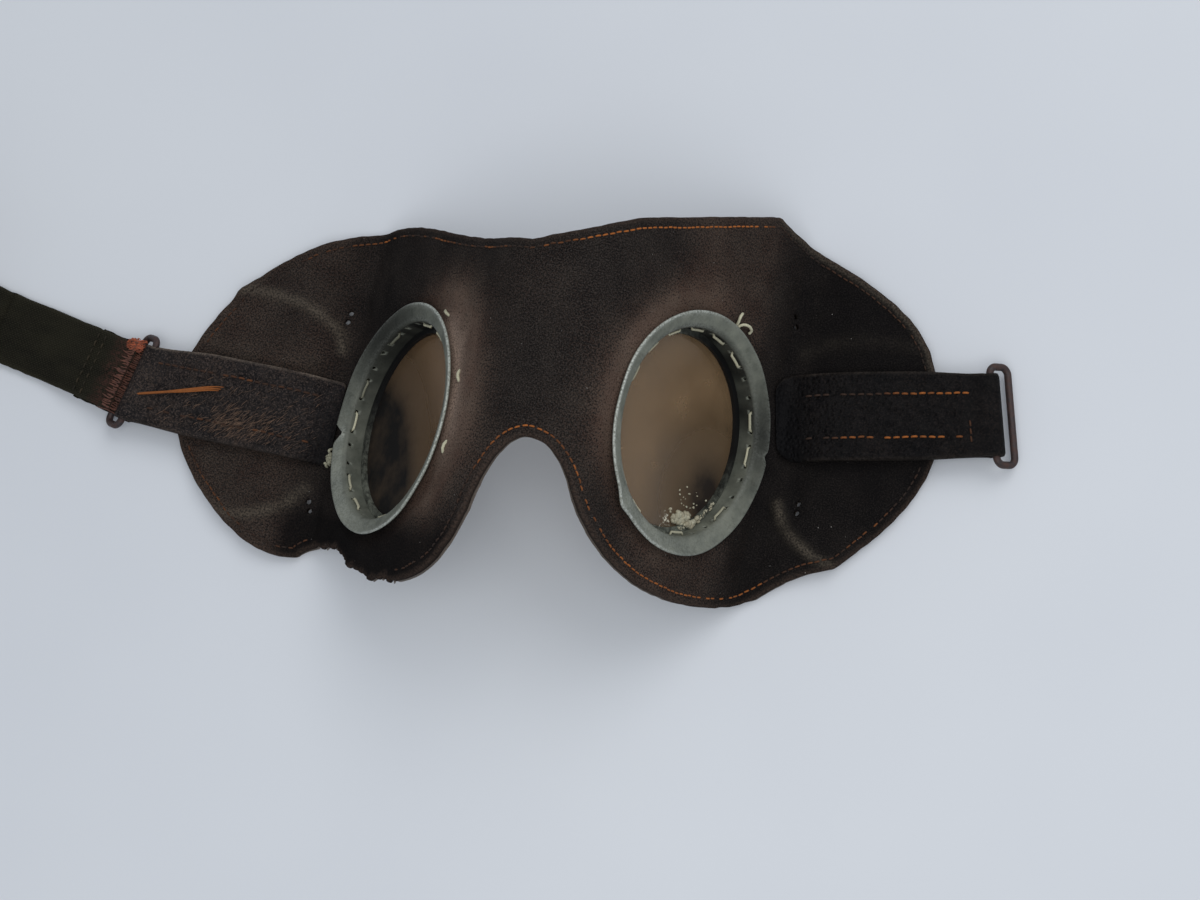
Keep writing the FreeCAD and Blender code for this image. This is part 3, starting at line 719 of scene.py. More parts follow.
# Raised creases, seen from above: points, height, width, and how pale the top is painted, partly rubbing and
# partly painted highlight
CREASES = [
    ([(-88, 34), (-84.5, 34.5), (-78, 34), (-69, 31.5), (-62, 28), (-58.5, 25), (-57, 19)], 1.3, 1.9, 0.9),
    ([(-92, -17), (-88.5, -21), (-82.5, -23), (-76.5, -22.5), (-68, -19.5), (-63, -15)], 1.0, 1.9, 0.8),
    ([(54.5, -13), (56, -17.5), (60.5, -23), (64.5, -26), (69.5, -28)], 1.3, 1.6, 0.9),
    ([(59, 24), (64, 26.5), (70, 27.5), (82, 27.5), (91, 25.5)], 0.8, 2.4, 0.15),
    ([(-93, 22), (-84, 18), (-72, 16), (-62, 17)], 0.5, 2.4, 0.1),
]
CREASE_LINES = [([to_flat(x, y) for x, y in natural_spline(points, 1.0)], height, width, rub)
                for points, height, width, rub in CREASES]
# The worn leather's waves: height, size and seed; and how far the tabs press it in
WAVES = [(0.5, 13, 0.0), (0.28, 5, 3.0), (0.1, 2.1, 6.0)]
TAB_DENT = 0.25
# The rubbed leather beside each ring: share, reach, how far it leans to the brow; and how pale the painted
# highlight against each ring's nose side is
RUBBED = {"left": (1.5, 10.0, 0.15), "right": (0.6, 7.5, 0.45)}
NOSE_HIGHLIGHT = {"left": 0.62, "right": 0.16}


def tab_axes(side):
    start = TAB_START[side]
    along = (TAB_END[side] - start).normalized()
    return start, along, Vector((-along.y, along.x, 0))


def side_of(spot):
    """The side of the mask that a point seen from above is on."""
    return "left" if spot.x < BRIDGE_X else "right"


def under_tab(spot, side, margin):
    """1 under a strap tab, falling to 0 a few millimetres outside it."""
    start, along, across = tab_axes(side)
    offset = Vector((spot.x, spot.y, 0)) - start
    if offset.dot(along) < -2:
        return 0.0
    return 1 - ramp(abs(offset.dot(across)), TAB_WIDTH / 2, TAB_WIDTH / 2 + margin)


def round_ring(p, side):
    """A flat point's distance from a ring's centre, and its lean towards the nose and the brow."""
    offset = p - RING_FLAT[side]
    away = offset.length
    return away, -SIDES[side] * offset.x / max(away, 1), offset.y / max(away, 1)


def relief(p):
    """How far the worn outer face stands off the even one, at a point of the flat mask."""
    spot = from_flat(p.x, p.y)
    side = side_of(spot)
    height = sum(tall * mottle(p.x, p.y, size, seed) for tall, size, seed in WAVES)
    for line, tall, width, _ in CREASE_LINES:
        near = min((p - q).length for q in line)
        if near < 3 * width:
            height += tall * bell(near, width)
    edge = edge_distance(p)
    height -= 0.22 * bell(edge - SEAM_INSET, 0.55)
    outer = ramp(abs(p.x - RING_FLAT[side].x), 40, 56) if SIDES[side] * (p.x - FOLD_S) > 45 else 0
    height -= 1.1 * outer * (1 - ramp(edge, 0, 14))
    ring = RING_FLAT[side]
    away = (p - ring).length
    angle = atan2(p.y - ring.y, p.x - ring.x)
    height += 0.25 * sin(7 * angle + 3 * mottle(angle, 0, 1.0, 8.0)) * bell(away - 33, 3.5)
    height *= ramp(away, 28.5, 33)
    height -= 0.5 * bell(away - 28.5, 2.0)
    covered = under_tab(spot, side, 5.0)
    return height * (1 - covered) - TAB_DENT * covered


def wear(p):
    """How rubbed the nap is: most beside the rings and over the bridge."""
    total = 0.16 + 0.16 * mottle(p.x, p.y, 16, 2.0)
    for side, (share, reach, brow_share) in RUBBED.items():
        away, toward, up = round_ring(p, side)
        lean = ramp(toward + brow_share * up, 0.0, 0.9) * (1 - 0.6 * ramp(-up, 0.35, 0.8))
        total += share * lean * bell(away - 29, reach)
        total += 0.3 * bell(away - 29, 3.0) * ramp(toward, -0.6, 0.2)
    x = p.x - RING_FLAT["right"].x
    total += 0.32 * ramp(x, -24, -8) * (1 - ramp(x, 14, 26))
    total += 0.25 * ramp(RING_FLAT["left"].x - p.x, 28, 42)
    if x > 30:
        total *= 0.35
    return min(max(total, 0), 1)


def crease_rub_and_highlight(p):
    """The pale line along a crease's top, partly rubbed nap and partly painted highlight, and the paler raw
    edge of the right wing.
    """
    rub = 0.0
    for line, _, width, share in CREASE_LINES:
        near = min((p - q).length for q in line)
        if near < 2 * width:
            rub = max(rub, share * bell(near, 0.8 * width) * (0.8 + 0.5 * mottle(p.x, p.y, 4.0, 3.0)))
    spot = from_flat(p.x, p.y)
    if spot.x > 52 and spot.y > 10:
        rub = max(rub, 0.75 * bell(edge_distance(p) - 0.7, 0.9))
    return min(rub, 1.0)


def halo(p):
    """Painted highlight: the palest colour, close against each ring on its nose side."""
    total = 0.0
    for side, share in NOSE_HIGHLIGHT.items():
        away, toward, up = round_ring(p, side)
        reach = 2.6 + 1.2 * mottle(p.x, p.y, 5.0, 12.0)
        total += share * bell(away - 28.6, reach) * ramp(toward, 0.3, 0.75) * ramp(up, -0.5, 0.1)
        if side == "left":
            total += 0.13 * bell(away - 31, 8.0) * ramp(toward, 0.2, 0.8) * ramp(up, -0.7, 0.0)
    return min(total, 1.0)


def shelter(p):
    """Painted shade: how much the leather is darkened in the valleys, round the rings' outer sides and on
    the right wing.
    """
    side = "left" if p.x < FOLD_S else "right"
    s = SIDES[side]
    offset = p - RING_FLAT[side]
    valley = bell(offset.x * s - 32, 9)
    if side == "left":
        slope = ramp(-offset.x, -22, 10) * (1 - ramp(-offset.x, 34, 46))
        below = ramp(-offset.y, 20, 30) * (1 - ramp(-offset.x, 34, 42))
        return min(0.9, 0.3 * slope + 0.1 * valley + 0.9 * below + 0.15 * mottle(p.x, p.y, 6, 2.0))
    wing = ramp(offset.x, 26, 40) * (0.6 + 0.3 * ramp(p.y, -15, 20))
    return min(0.85, max(wing, 0.7 * valley) + 0.15 * mottle(p.x, p.y, 6, 2.0))


def in_opening(p, radius):
    """Whether a flat point lies in either glass's opening."""
    return any((p - centre).length < radius for centre in RING_FLAT.values())


def in_vent(p, margin):
    return any((p - q).length < VENT_RADIUS + margin for q in VENTS_FLAT)


def polar(radius, a):
    return Vector((cos(a), sin(a))) * radius


def circle(centre, radius, count):
    return [centre + polar(radius, TURN * k / count) for k in range(count)]


# The leather's and the lining's rows of points inside the edge, and their spacing elsewhere
LEATHER_GRID = ((0.15, 0.4, 0.75, 1.2, 1.75, 2.3, 2.85), 0.95)
LINING_GRID = ((0.8,), 2.2)
OPENING_STEPS = 150
VENT_STEPS = 12


def flat_mesh(opening, rows, grid):
    """Triangles over the flat mask with its holes, as points and faces; few points lie close together."""
    loops = [EDGE] + [circle(RING_FLAT[side], opening, OPENING_STEPS) for side in SIDES]
    loops += [circle(q, VENT_RADIUS, VENT_STEPS) for q in VENTS_FLAT]
    points = [p for loop in loops for p in loop]
    borders = []
    for loop in loops:
        first = len(borders)
        borders += [(first + i, first + (i + 1) % len(loop)) for i in range(len(loop))]
    taken = {}

    def add(p, gap):
        column, row = int(p.x // 1), int(p.y // 1)
        for cell in ((column + dx, row + dy) for dx in (-1, 0, 1) for dy in (-1, 0, 1)):
            if any((p - q).length < gap for q in taken.get(cell, ())):
                return
        taken.setdefault((column, row), []).append(p)
        points.append(p)

    def free(p):
        return not in_opening(p, opening + 0.45) and not in_vent(p, 0.35)

    for inset in rows:
        for p in inset_edge(inset):
            if edge_distance(p) > inset * 0.85 and free(p):
                add(p, 0.22 if inset < 0.5 else 0.5)
    lo = Vector((min(p.x for p in EDGE), min(p.y for p in EDGE)))
    hi = Vector((max(p.x for p in EDGE), max(p.y for p in EDGE)))
    row_gap = grid * 0.866
    clear_of_rows = max(rows) + 0.4 * grid
    for j in range(int((hi.y - lo.y) / row_gap)):
        for i in range(int((hi.x - lo.x) / grid)):
            p = Vector((lo.x + (i + 0.5 * (j % 2)) * grid, lo.y + j * row_gap))
            if free(p) and edge_distance(p) > clear_of_rows:
                add(p, 0.45 * grid)
    made = delaunay_2d_cdt(points, borders, [], 1, 1e-5)
    out = [Vector(p) for p in made[0]]
    faces = []
    for face in made[2]:
        middle = sum((out[i] for i in face), Vector((0, 0))) / len(face)
        if not in_opening(middle, opening - 0.02) and not in_vent(middle, -0.05):
            faces.append(tuple(face))
    used = sorted({i for face in faces for i in face})
    renumbered = {old: new for new, old in enumerate(used)}
    return [out[i] for i in used], [tuple(renumbered[i] for i in face) for face in faces]


def solid_sheet(flat, faces, upper, lower):
    """Close two offsets of the flat mesh into one skin: points, faces, flat places."""
    count = len(flat)
    points = [from_flat(p.x, p.y, lift) for face in (upper, lower) for p, lift in zip(flat, face)]
    sides = dict.fromkeys(side for face in faces for side in zip(face, face[1:] + face[:1]))
    skin = list(faces) + [tuple(i + count for i in face[::-1]) for face in faces]
    skin += [(b, a, a + count, b + count) for a, b in sides if (b, a) not in sides]
    places = [(p.x, p.y, 0.0) for p in flat] + [(p.x, p.y, 5.0) for p in flat]
    return points, skin, places


def rounding(distance, radius):
    """How far a rounded edge has dropped at a distance inside it."""
    if distance >= radius:
        return 0.0
    return radius * (1 - sqrt(max(0, 1 - (1 - distance / radius) ** 2)))


def bend_over_bridge(obj):
    """Bake a sheet's placing into its mesh; the points either side of the fold at the bridge are worked out
    but not used.
    """
    middle = from_flat(FOLD_S, 0)
    across = Vector((cos(ARCH), -sin(ARCH), 0))
    place(middle - across * BRIDGE_BEND)
    place(middle + across * BRIDGE_BEND)
    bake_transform(obj)


def make_mask(leather, felt):
    flat, faces = flat_mesh(OPENING, *LEATHER_GRID)
    plain = [0.0] * len(flat)
    heights = [relief(p) for p in flat]
    edges = [edge_distance(p) for p in flat]
    upper = [h - rounding(e, 0.7) for h, e in zip(heights, edges)]
    lower = [max(-LEATHER, -LEATHER + 0.75 * min(h, 0.6) + 0.6 * rounding(e, 0.6))
             for h, e in zip(heights, edges)]
    points, skin, places = solid_sheet(flat, faces, upper, lower)
    mask = piece("mask_leather", points, skin, leather)
    give(mask, flat=places, wear=[wear(p) for p in flat] + [0.1] * len(flat),
         rim=[bell(e, 0.75) for e in edges] + [0.5] * len(flat),
         sheltered=[max(0.0, shelter(p)) for p in flat] * 2,
         scuff=[crease_rub_and_highlight(p) for p in flat] + plain, halo=[halo(p) for p in flat] + plain)
    bend_over_bridge(mask)
    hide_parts("left_mask_leather", "right_mask_leather")
    flat, faces = flat_mesh(LINING_OPENING, *LINING_GRID)
    top = -LEATHER - PLY_GAP
    rounds = [rounding(edge_distance(p), 0.3) for p in flat]
    upper = [top - r for r in rounds]
    lower = [top - LINING + r for r in rounds]
    points, skin, places = solid_sheet(flat, faces, upper, lower)
    lining = piece("mask_lining", points, skin, felt)
    give(lining, flat=places)
    bend_over_bridge(lining)
    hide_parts("left_mask_lining", "right_mask_lining")


# ---------------------------------------------------------------- sewing on the mask

def on_leather(p, lift):
    return from_flat(p.x, p.y, relief(p) + lift)


def stitch(bundle, start, end, surface, radius, tone, tall=0.2):
    """One stitch that comes up out of the leather and goes down again."""
    path = []
    for t, lift in ((0, -0.45), (0.12, 0.0), (0.35, tall), (0.65, tall), (0.88, 0.0), (1, -0.45)):
        path.append(surface(start.lerp(end, t), lift * radius / 0.25))
    bundle.tube(path, radius, tone)


# The machine sewing round the mask, and where it has faded: a box seen from above and the share left
EDGE_PITCH = 1.7
EDGE_STITCH = 1.25
FADED = [(-120, -58, -80, 80, 0.35), (-40, -10, -80, -12, 0.12),
         (52, 120, 0, 80, 0.1), (52, 120, -80, 0, 0.45)]


def make_edge_stitching(thread):
    """Short machine stitches inside the mask's edge, bright where the photo shows them so."""
    rng = random.Random(4)
    bundle = Bundle()
    line = [p for p in inset_edge(SEAM_INSET) if edge_distance(p) > SEAM_INSET * 0.9]
    walk = spaced_loop(line, EDGE_PITCH)
    for i, p in enumerate(walk):
        q = walk[(i + 1) % len(walk)]
        gap = (q - p).length > 1.6 * EDGE_PITCH
        q = p.lerp(q, EDGE_STITCH / EDGE_PITCH)
        spot = from_flat(p.x, p.y)
        side = side_of(spot)
        if gap or is_torn(spot.x, spot.y) > 0.2 or under_tab(spot, side, 1.5) > 0.3:
            continue
        clear = 0.35 + 0.9 * mottle(p.x, p.y, 14, 5.0) + 0.5 * mottle(p.x, p.y, 2.0, 1.0)
        brow = ramp(spot.x, 5, 14) * ramp(-spot.x, -52, -46) * ramp(spot.y, 20, 36)
        nose = bell(spot.x - 1, 8) * ramp(-spot.y, 0, 6)
        cheek = ramp(spot.x, 14, 24) * ramp(-spot.x, -58, -50) * ramp(-spot.y, 20, 30)
        tone = min(1, max(0.0, max(clear, 1.1 * brow, nose, 0.75 * cheek) + rng.uniform(-0.25, 0.1)))
        for left, right, low, high, share in FADED:
            if left < spot.x < right and low < spot.y <= high:
                tone *= share
        if rng.random() < 0.05:
            continue
        wobble = Vector((rng.uniform(-0.1, 0.1), rng.uniform(-0.1, 0.1)))
        stitch(bundle, p + wobble, q + wobble, on_leather, 0.21, tone)
    obj = bundle.piece("edge_stitching", thread, "orange_thread")
    bend_over_bridge(obj)
    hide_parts("left_edge_stitching", "right_edge_stitching")


# ---------------------------------------------------------------- rings and glass

RIM_RADIUS = 28.5
WALL_INNER = 24.3
WALL_OUTER = 25.0
RING_DEPTH = 10.2
SEAT_LIP = 0.5
SEAT_RADIUS = 22.3
SEW_DEPTH = 2.77
RING_STITCHES = 18
RING_STITCH = 5.0
RING_THREAD = 0.4
HOLE_RADIUS = 0.55
# Stitches that have come out of each ring, counted round it
LOST = {"left": (5, 7, 10, 13), "right": (2, 13, 15, 17)}
RETAINER_INNER = 22.75
GLASS_FACE = -7.3


def ring_matrix(side):
    """From a ring's own frame, with its rim at zero depth and its axis up, to the mask's."""
    return (Matrix.Translation(RING_CENTRE[side]) @ Matrix.Rotation(-ARCH, 4, "Z")
            @ Matrix.Rotation(SIDES[side] * RING_TILT[side], 4, "Y"))


# Where a ring's seam shows as a notch: angle round the ring, half width, share of the flange cut away
NOTCH = {"left": (radians(188), 0.085, 1.1), "right": (radians(2), 0.05, 0.35)}
# Height and radius of the flange vary round the ring by this much
RING_BUCKLE = {"left": 0.22, "right": 0.4}


def ring_profile():
    """Radius, depth and rubbed bareness round the ring's section, from the flange's top edge; make_ring
    turns the bareness partly into a painted highlight.
    """
    return [(28.2, 0.02, 1.0), (RIM_RADIUS, -0.15, 1.0), (RIM_RADIUS + 0.05, -0.4, 0.8), (28.3, -0.7, 0.3),
            (WALL_OUTER + 0.6, -2.0, 0), (WALL_OUTER, -2.4, 0), (WALL_OUTER, -RING_DEPTH, 0),
            (SEAT_RADIUS, -RING_DEPTH, 0), (SEAT_RADIUS, SEAT_LIP - RING_DEPTH, 0),
            (WALL_INNER, SEAT_LIP - RING_DEPTH, 0), (WALL_INNER, -6.5, 0), (WALL_INNER, -4.0, 0.05),
            (WALL_INNER, -2.2, 0.1), (WALL_INNER + 0.12, -1.75, 0.2), (WALL_INNER + 0.5, -1.35, 0.4),
            (25.6, -0.98, 0.12), (27.0, -0.5, 0.1), (27.8, -0.12, 0.35)]


def turn_between(a, b):
    """The smaller angle between two directions round a ring."""
    return abs((a - b + pi) % TURN - pi)


# Where a ring is darkest, part grime and part painted shade, as an angle round it, over what angle and how
# dark
RING_GRIME_AND_SHADE = {"left": (radians(125), 0.85, 0.9), "right": (radians(12), 0.62, 0.85)}
# The darkening of the wall inside a ring, grime with painted shade towards one side: how dark, how much
# darker towards one side, and the turn of that side
WALL_GRIME_AND_SHADE = {"left": (0.45, 0.5, 0.0), "right": (0.3, 0.65, 0.25)}
RING_DENT = radians(228)
RING_DENT_SIZE = 0.9
RING_STEPS = 240
# Painted shade on the retaining rings, and the look of the glasses with their painted shade; places are in
# the rings' own frames
RETAINER_SHADE = {"left": (-12, 16, -6.5), "right": (16, 12, -6.5)}
# In each look, shade_at, shade_reach and dark place, spread and colour the glass's painted shade.
GLASS_LOOK = {
    "left": {"crumbs_at": (6, -20, -7), "crumb_reach": 4, "shade_at": (-30, -24, -7),
             "shade_reach": (34, 53), "haze": (0.3, 0.38), "glass": (0.42, 0.25, 0.125),
             "film": (0.36, 0.225, 0.12), "dark": (0.009, 0.008, 0.0075)},
    "right": {"crumbs_at": (4.5, -20.5, -7.2), "crumb_reach": 5, "shade_at": (17, -12, -7),
              "shade_reach": (4, 25), "haze": (0.3, 0.42), "glass": (0.62, 0.4, 0.21),
              "film": (0.36, 0.235, 0.125), "dark": (0.02, 0.015, 0.012)},
}


def ring_grime(side, a, radius, depth):
    # Darkening of the ring's paint: partly real grime, partly painted shade on one side of the flange, on
    # the inner wall towards one side and round the flange's inner edge.
    worst, width, share = RING_GRIME_AND_SHADE[side]
    dirty = share * bell(turn_between(a, worst), width)
    if radius < WALL_OUTER - 0.2 and depth < -2:
        dark, lean, turn = WALL_GRIME_AND_SHADE[side]
        spotty = 0.35 * mottle(5 * cos(a), 5 * sin(a), 1.0, 5.0)
        on_wall = dark + lean * sin(a + turn) + spotty
        dirty = max(dirty, on_wall) if side == "left" else on_wall
    elif radius < WALL_OUTER:
        dirty = max(dirty, 0.35 + 0.25 * sin(a))
    return min(1.0, max(0.0, dirty))


def in_ring(side, x, y, z):
    """A point in a ring's own frame, in the row frame's metres."""
    return place(ring_matrix(side) @ Vector((x, y, z)))


def make_ring(side, paint, thread):
    profile = ring_profile()
    points = []
    rubbed = []
    grime = []
    notch_at, notch_half, notch_cut = NOTCH[side]
    for k in range(RING_STEPS):
        a = TURN * k / RING_STEPS
        cut = notch_cut * max(0, 1 - turn_between(a, notch_at) / notch_half)
        ring = polar(1, a)
        swell = RING_BUCKLE[side] * mottle(1.6 * ring.x, 1.6 * ring.y, 1, SIDES[side] * 3.0)
        wave = RING_BUCKLE[side] * mottle(2.4 * ring.x, 2.4 * ring.y, 1, SIDES[side] * 7.0)
        if side == "right":
            swell += RING_DENT_SIZE * bell(turn_between(a, RING_DENT), 0.09)
        for radius, depth, bare_and_highlight in profile:
            share = max(0, (radius - WALL_OUTER) / (RIM_RADIUS - WALL_OUTER))
            r = radius + share * swell - share * cut * (RIM_RADIUS - WALL_OUTER)
            points.append(Vector((r * cos(a), r * sin(a), depth + share * (wave - 0.4 * cut))))
            # Painted highlight: the bare rim stays bright only on the nose side, and a patch round 235
            # degrees is painted brighter.
            bare_and_highlight *= 0.2 + 0.8 * ramp(-SIDES[side] * ring.x, -0.25, 0.35)
            if radius > WALL_OUTER:
                bare_and_highlight = max(bare_and_highlight, 0.3 * bell(turn_between(a, radians(235)), 1.1))
            rubbed.append(min(1, bare_and_highlight + (0.3 * cut if depth > -1 else 0)))
            grime.append(ring_grime(side, a, radius, depth))
    n = len(profile)
    faces = []
    for k in range(RING_STEPS):
        base, nxt = k * n, (k + 1) % RING_STEPS * n
        for i in range(n):
            j = (i + 1) % n
            faces.append((base + i, nxt + i, nxt + j, base + j))
    matrix = ring_matrix(side)
    ring = piece(side + "_lens_ring_shell", [matrix @ p for p in points], faces, paint)
    give(ring, rubbed=rubbed, grime=grime)
    pierce(ring, side)
    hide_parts(side + "_lens_ring")
    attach(ring, side + "_half")
    make_ring_sewing(side, thread)


def stitch_angles():
    """Where each hand stitch starts and ends, as angles round a ring."""
    half = RING_STITCH / WALL_INNER / 2
    step = TURN / RING_STITCHES
    return [(i * step - half, i * step + half) for i in range(RING_STITCHES)]


def in_wall(angle, radius, depth=-SEW_DEPTH):
    """A point in a ring's own frame, at the sewing holes' depth unless told otherwise."""
    return polar(radius, angle).to_3d() + UP * depth


def pierce(ring, side):
    """Cut the sewing holes through the ring's wall."""
    pins = Bundle()
    matrix = ring_matrix(side)
    for angle in (a for pair in stitch_angles() for a in pair):
        line = [matrix @ in_wall(angle, r) for r in (WALL_INNER - 0.6, 24.6, WALL_OUTER + 0.6)]
        pins.tube(line, HOLE_RADIUS, sides=10)
    cutter = piece(side + "_pins", pins.points, pins.faces, ring.data.materials[0])
    cut = ring.modifiers.new("holes", "BOOLEAN")
    cut.object = cutter
    cut.solver = "EXACT"
    graph = bpy.context.evaluated_depsgraph_get()
    cut_mesh = bpy.data.meshes.new_from_object(ring.evaluated_get(graph))
    ring.modifiers.clear()
    ring.data = cut_mesh
    bpy.data.objects.remove(cutter)


# Seen from above: stray stitches outside the left ring, and which sides the lump and the loose ends are on
OUTSIDE_STITCHES = [(-25.2, 20.5), (-19.0, 6.0), (-19.3, -10.0)]
LUMP_SIDE = (-59, -8.5)
LOOSE_END_SIDE = (43.6, 26.5)


def beside_ring(side, toward, gap):
    """The flat mask's point just outside a ring, on the side towards a place seen from above."""
    centre = RING_FLAT[side]
    return centre + (to_flat(*toward) - centre).normalized() * (RIM_RADIUS + gap)


def make_ring_sewing(side, thread):
    """Hand stitches inside the ring's wall; some have gone, and some run outside it on the leather."""
    rng = random.Random(11 + SIDES[side])
    bundle = Bundle()
    matrix = ring_matrix(side)
    for i, (start, end) in enumerate(stitch_angles()):
        if i in LOST[side]:
            continue
        path = []
        slack = rng.uniform(0.05, 0.35)
        drift = rng.uniform(-0.25, 0.25)
        for k in range(9):
            t = k / 8
            a = start + (end - start) * t
            sag = sin(pi * t)
            radius = WALL_INNER + 0.45 - (0.45 + RING_THREAD + slack) * min(1, 4 * sag)
            path.append(matrix @ in_wall(a, radius, -SEW_DEPTH + drift * sag))
        tone = rng.uniform(0.05, 0.3) if side == "left" and 4 < i < 9 else rng.uniform(0.5, 1.0)
        bundle.tube(path, RING_THREAD * rng.uniform(0.7, 0.9), tone, sides=8)
    if side == "left":
        centre = RING_FLAT[side]
        for x, y in OUTSIDE_STITCHES:
            offset = to_flat(x, y) - centre
            a = atan2(offset.y, offset.x)
            radius = max(offset.length, RIM_RADIUS + 1.0)
            half = 1.7 / radius
            stitch(bundle, centre + polar(radius, a - half), centre + polar(radius, a + half), on_leather,
                   0.4, rng.uniform(0.75, 1.0), 0.25)
        lump = beside_ring(side, LUMP_SIDE, 2.4)
        for _ in range(16):
            start = lump + Vector((rng.uniform(-1.4, 0.4), rng.uniform(-1.6, 1.6)))
            turn = Vector((rng.uniform(-1.0, 0.6), rng.uniform(-1.4, 1.4)))
            path = [on_leather(start + turn * t, 0.3 + 1.1 * sin(pi * t))
                    for t in (0, 0.35, 0.7, 1)]
            bundle.tube(smooth_path(path, 3), 0.34, rng.uniform(0.2, 0.6), sides=6)
    else:
        root = beside_ring(side, LOOSE_END_SIDE, 0.5)
        for line in ([(0, -0.3, -0.3), (-0.3, 1.2, 0.6), (-0.7, 2.8, 0.9), (0.3, 3.9, 0.5)],
                     [(0, 0, 0.2), (1.2, 1.3, 0.9), (3.0, 1.4, 1.2), (4.6, 0.8, 0.8), (4.7, 0.0, 0.2)]):
            path = [on_leather(root + Vector((x, y)), lift) for x, y, lift in line]
            bundle.tube(smooth_path(path, 4), 0.36, 1.0, sides=8)
    obj = bundle.piece(side + "_ring_sewing", thread, "cream_thread")
    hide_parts(side + "_ring_thread")
    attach(obj, side + "_half")


# Crumbs heaped on the right glass, along its rim and lying about
HEAP = 240
RIM_CRUMBS = 70
STRAYS = 20


def make_crumbs():
    """Pale crumbs lying on the right glass against the ring."""
    rng = random.Random(31)
    bundle = Bundle()
    matrix = ring_matrix("right")
    for i in range(HEAP + RIM_CRUMBS + STRAYS):
        if i < HEAP:
            x, y, size = rng.gauss(11.0, 1.9), -20.4 + abs(rng.gauss(0, 1.2)), rng.uniform(0.3, 0.75)
        elif i < HEAP + RIM_CRUMBS:
            a, radius = radians(rng.uniform(290, 326)), rng.uniform(RETAINER_INNER, 24.0)
            x, y, size = *polar(radius, a), rng.uniform(0.12, 0.35)
        else:
            x, y, size = rng.gauss(11.0, 2.6), rng.uniform(-16, -11), rng.uniform(0.12, 0.3)
        away = hypot(x, y)
        if away > 23.9:
            continue
        level = GLASS_FACE + (1.05 if away > RETAINER_INNER else 0.0)
        start = Vector((x, y, level + 0.5 * size))
        run = Vector((rng.uniform(-1, 1), rng.uniform(-1, 1), rng.uniform(0, 0.5))).normalized() * size
        bundle.tube([matrix @ (start + run * k) for k in (-1, 0, 1)], size, rng.uniform(0.3, 1.0), sides=5)
    crumb = thread_material("crumb", (0.5, 0.48, 0.36), (0.3, 0.26, 0.18), twist=1.2)
    obj = bundle.piece("right_glass_crumbs", crumb)
    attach(obj, "right_half")


def smooth_path(points, steps):
    """Catmull-Rom points through the given ones."""
    out = []
    for i in range(len(points) - 1):
        a = points[max(i - 1, 0)]
        b, c = points[i], points[i + 1]
        d = points[min(i + 2, len(points) - 1)]
        for k in range(steps):
            t = k / steps
            out.append(((b * 2) + (c - a) * t + (a * 2 - b * 5 + c * 4 - d) * t * t
                        + (b * 3 - a - c * 3 + d) * t ** 3) * 0.5)
    out.append(points[-1])
    return out


def dress(node, material):
    """Give a CAD node that shows as it is a better material."""
    NODES[node].data.materials.clear()
    NODES[node].data.materials.append(material)


# ---------------------------------------------------------------- strap tabs

def fold_axes(side):
    """The direction out past a tab's folded end, and the direction along its wire's outer leg."""
    a = TAB_END_TURN[side]
    out = Vector((SIDES[side] * cos(a), sin(a), 0))
    return out, Vector((-out.y, out.x, 0))


def mask_level(x, y):
    """Height of the mask's even outer face under a point seen from above."""
    u, _ = to_arch(x, y)
    return between(SECTION_U, u)[2]


def tab_frame(side):
    """Centre line, and the direction across, at a distance from the tab's near end."""
    start, along, _ = tab_axes(side)
    across = Vector((-along.y, along.x, 0)) * SIDES[side]
    length = (TAB_END[side] - start).length
    leg = fold_axes(side)[1] * SIDES[side]

    def at(t):
        turn = ramp(t, length - TAB_WIDTH, length)
        return start + along * t, across.lerp(leg, turn).normalized()
    return at, length


def tab_lift(side, t, w, length):
    """How the tab's upper ply waves above its even level."""
    middle = sin(pi * min(max(t / length, 0), 1))
    if side == "left":
        curl = 1.5 * middle * ramp(w, -2, 10) + 0.5 * middle * ramp(-w, 5, 10)
        ripple = 0.35 * mottle(t, w, 6.5, 3.0) + 0.2 * mottle(t, w, 2.4, 5.0)
        return curl + ripple * ramp(length - t, 1, 8)
    ripple = 0.22 * mottle(t, w, 8.0, 2.0) + 0.08 * mottle(t, w, 2.2, 5.0)
    return 0.5 * middle * ramp(abs(w), 6, 10) + ripple * ramp(length - t, 1, 8)


def tab_half_width(side, t, length):
    half = TAB_WIDTH / 2 + (TAB_END_WIDTH - TAB_WIDTH) / 2 * ramp(t, length - TAB_WIDTH, length)
    corner = 5.0 if side == "right" else 1.5
    return half - rounding(t + TAB_NEAR[side], corner)


# How scuffed each tab is, how light its leather, and how gritty
TAB_LOOK = {"left": (0.7, 0.9, 0.75), "right": (0.12, 0.42, 0.12)}
# How far each tab's thinned near end reaches towards its ring, and how pale each of its two edges is: the
# raw edge's colour with a painted highlight, strongest along the left tab's upper edge
TAB_NEAR = {"left": 0.8, "right": 2.2}
TAB_EDGE_HIGHLIGHT = {"left": (0.12, 0.75), "right": (0.1, 0.15)}
# The tabs' sewing, and the fuzz on the left one
TAB_PITCH = 2.1
TAB_STITCH = 1.5
FUZZ_HAIRS = 420
FUZZ_EDGE = 9.8


def thinned(side, t):
    """The share of a tab's thickness left at a distance from its near end, where it is pared away."""
    return 0.35 + 0.65 * ramp(t, -TAB_NEAR[side], 9)


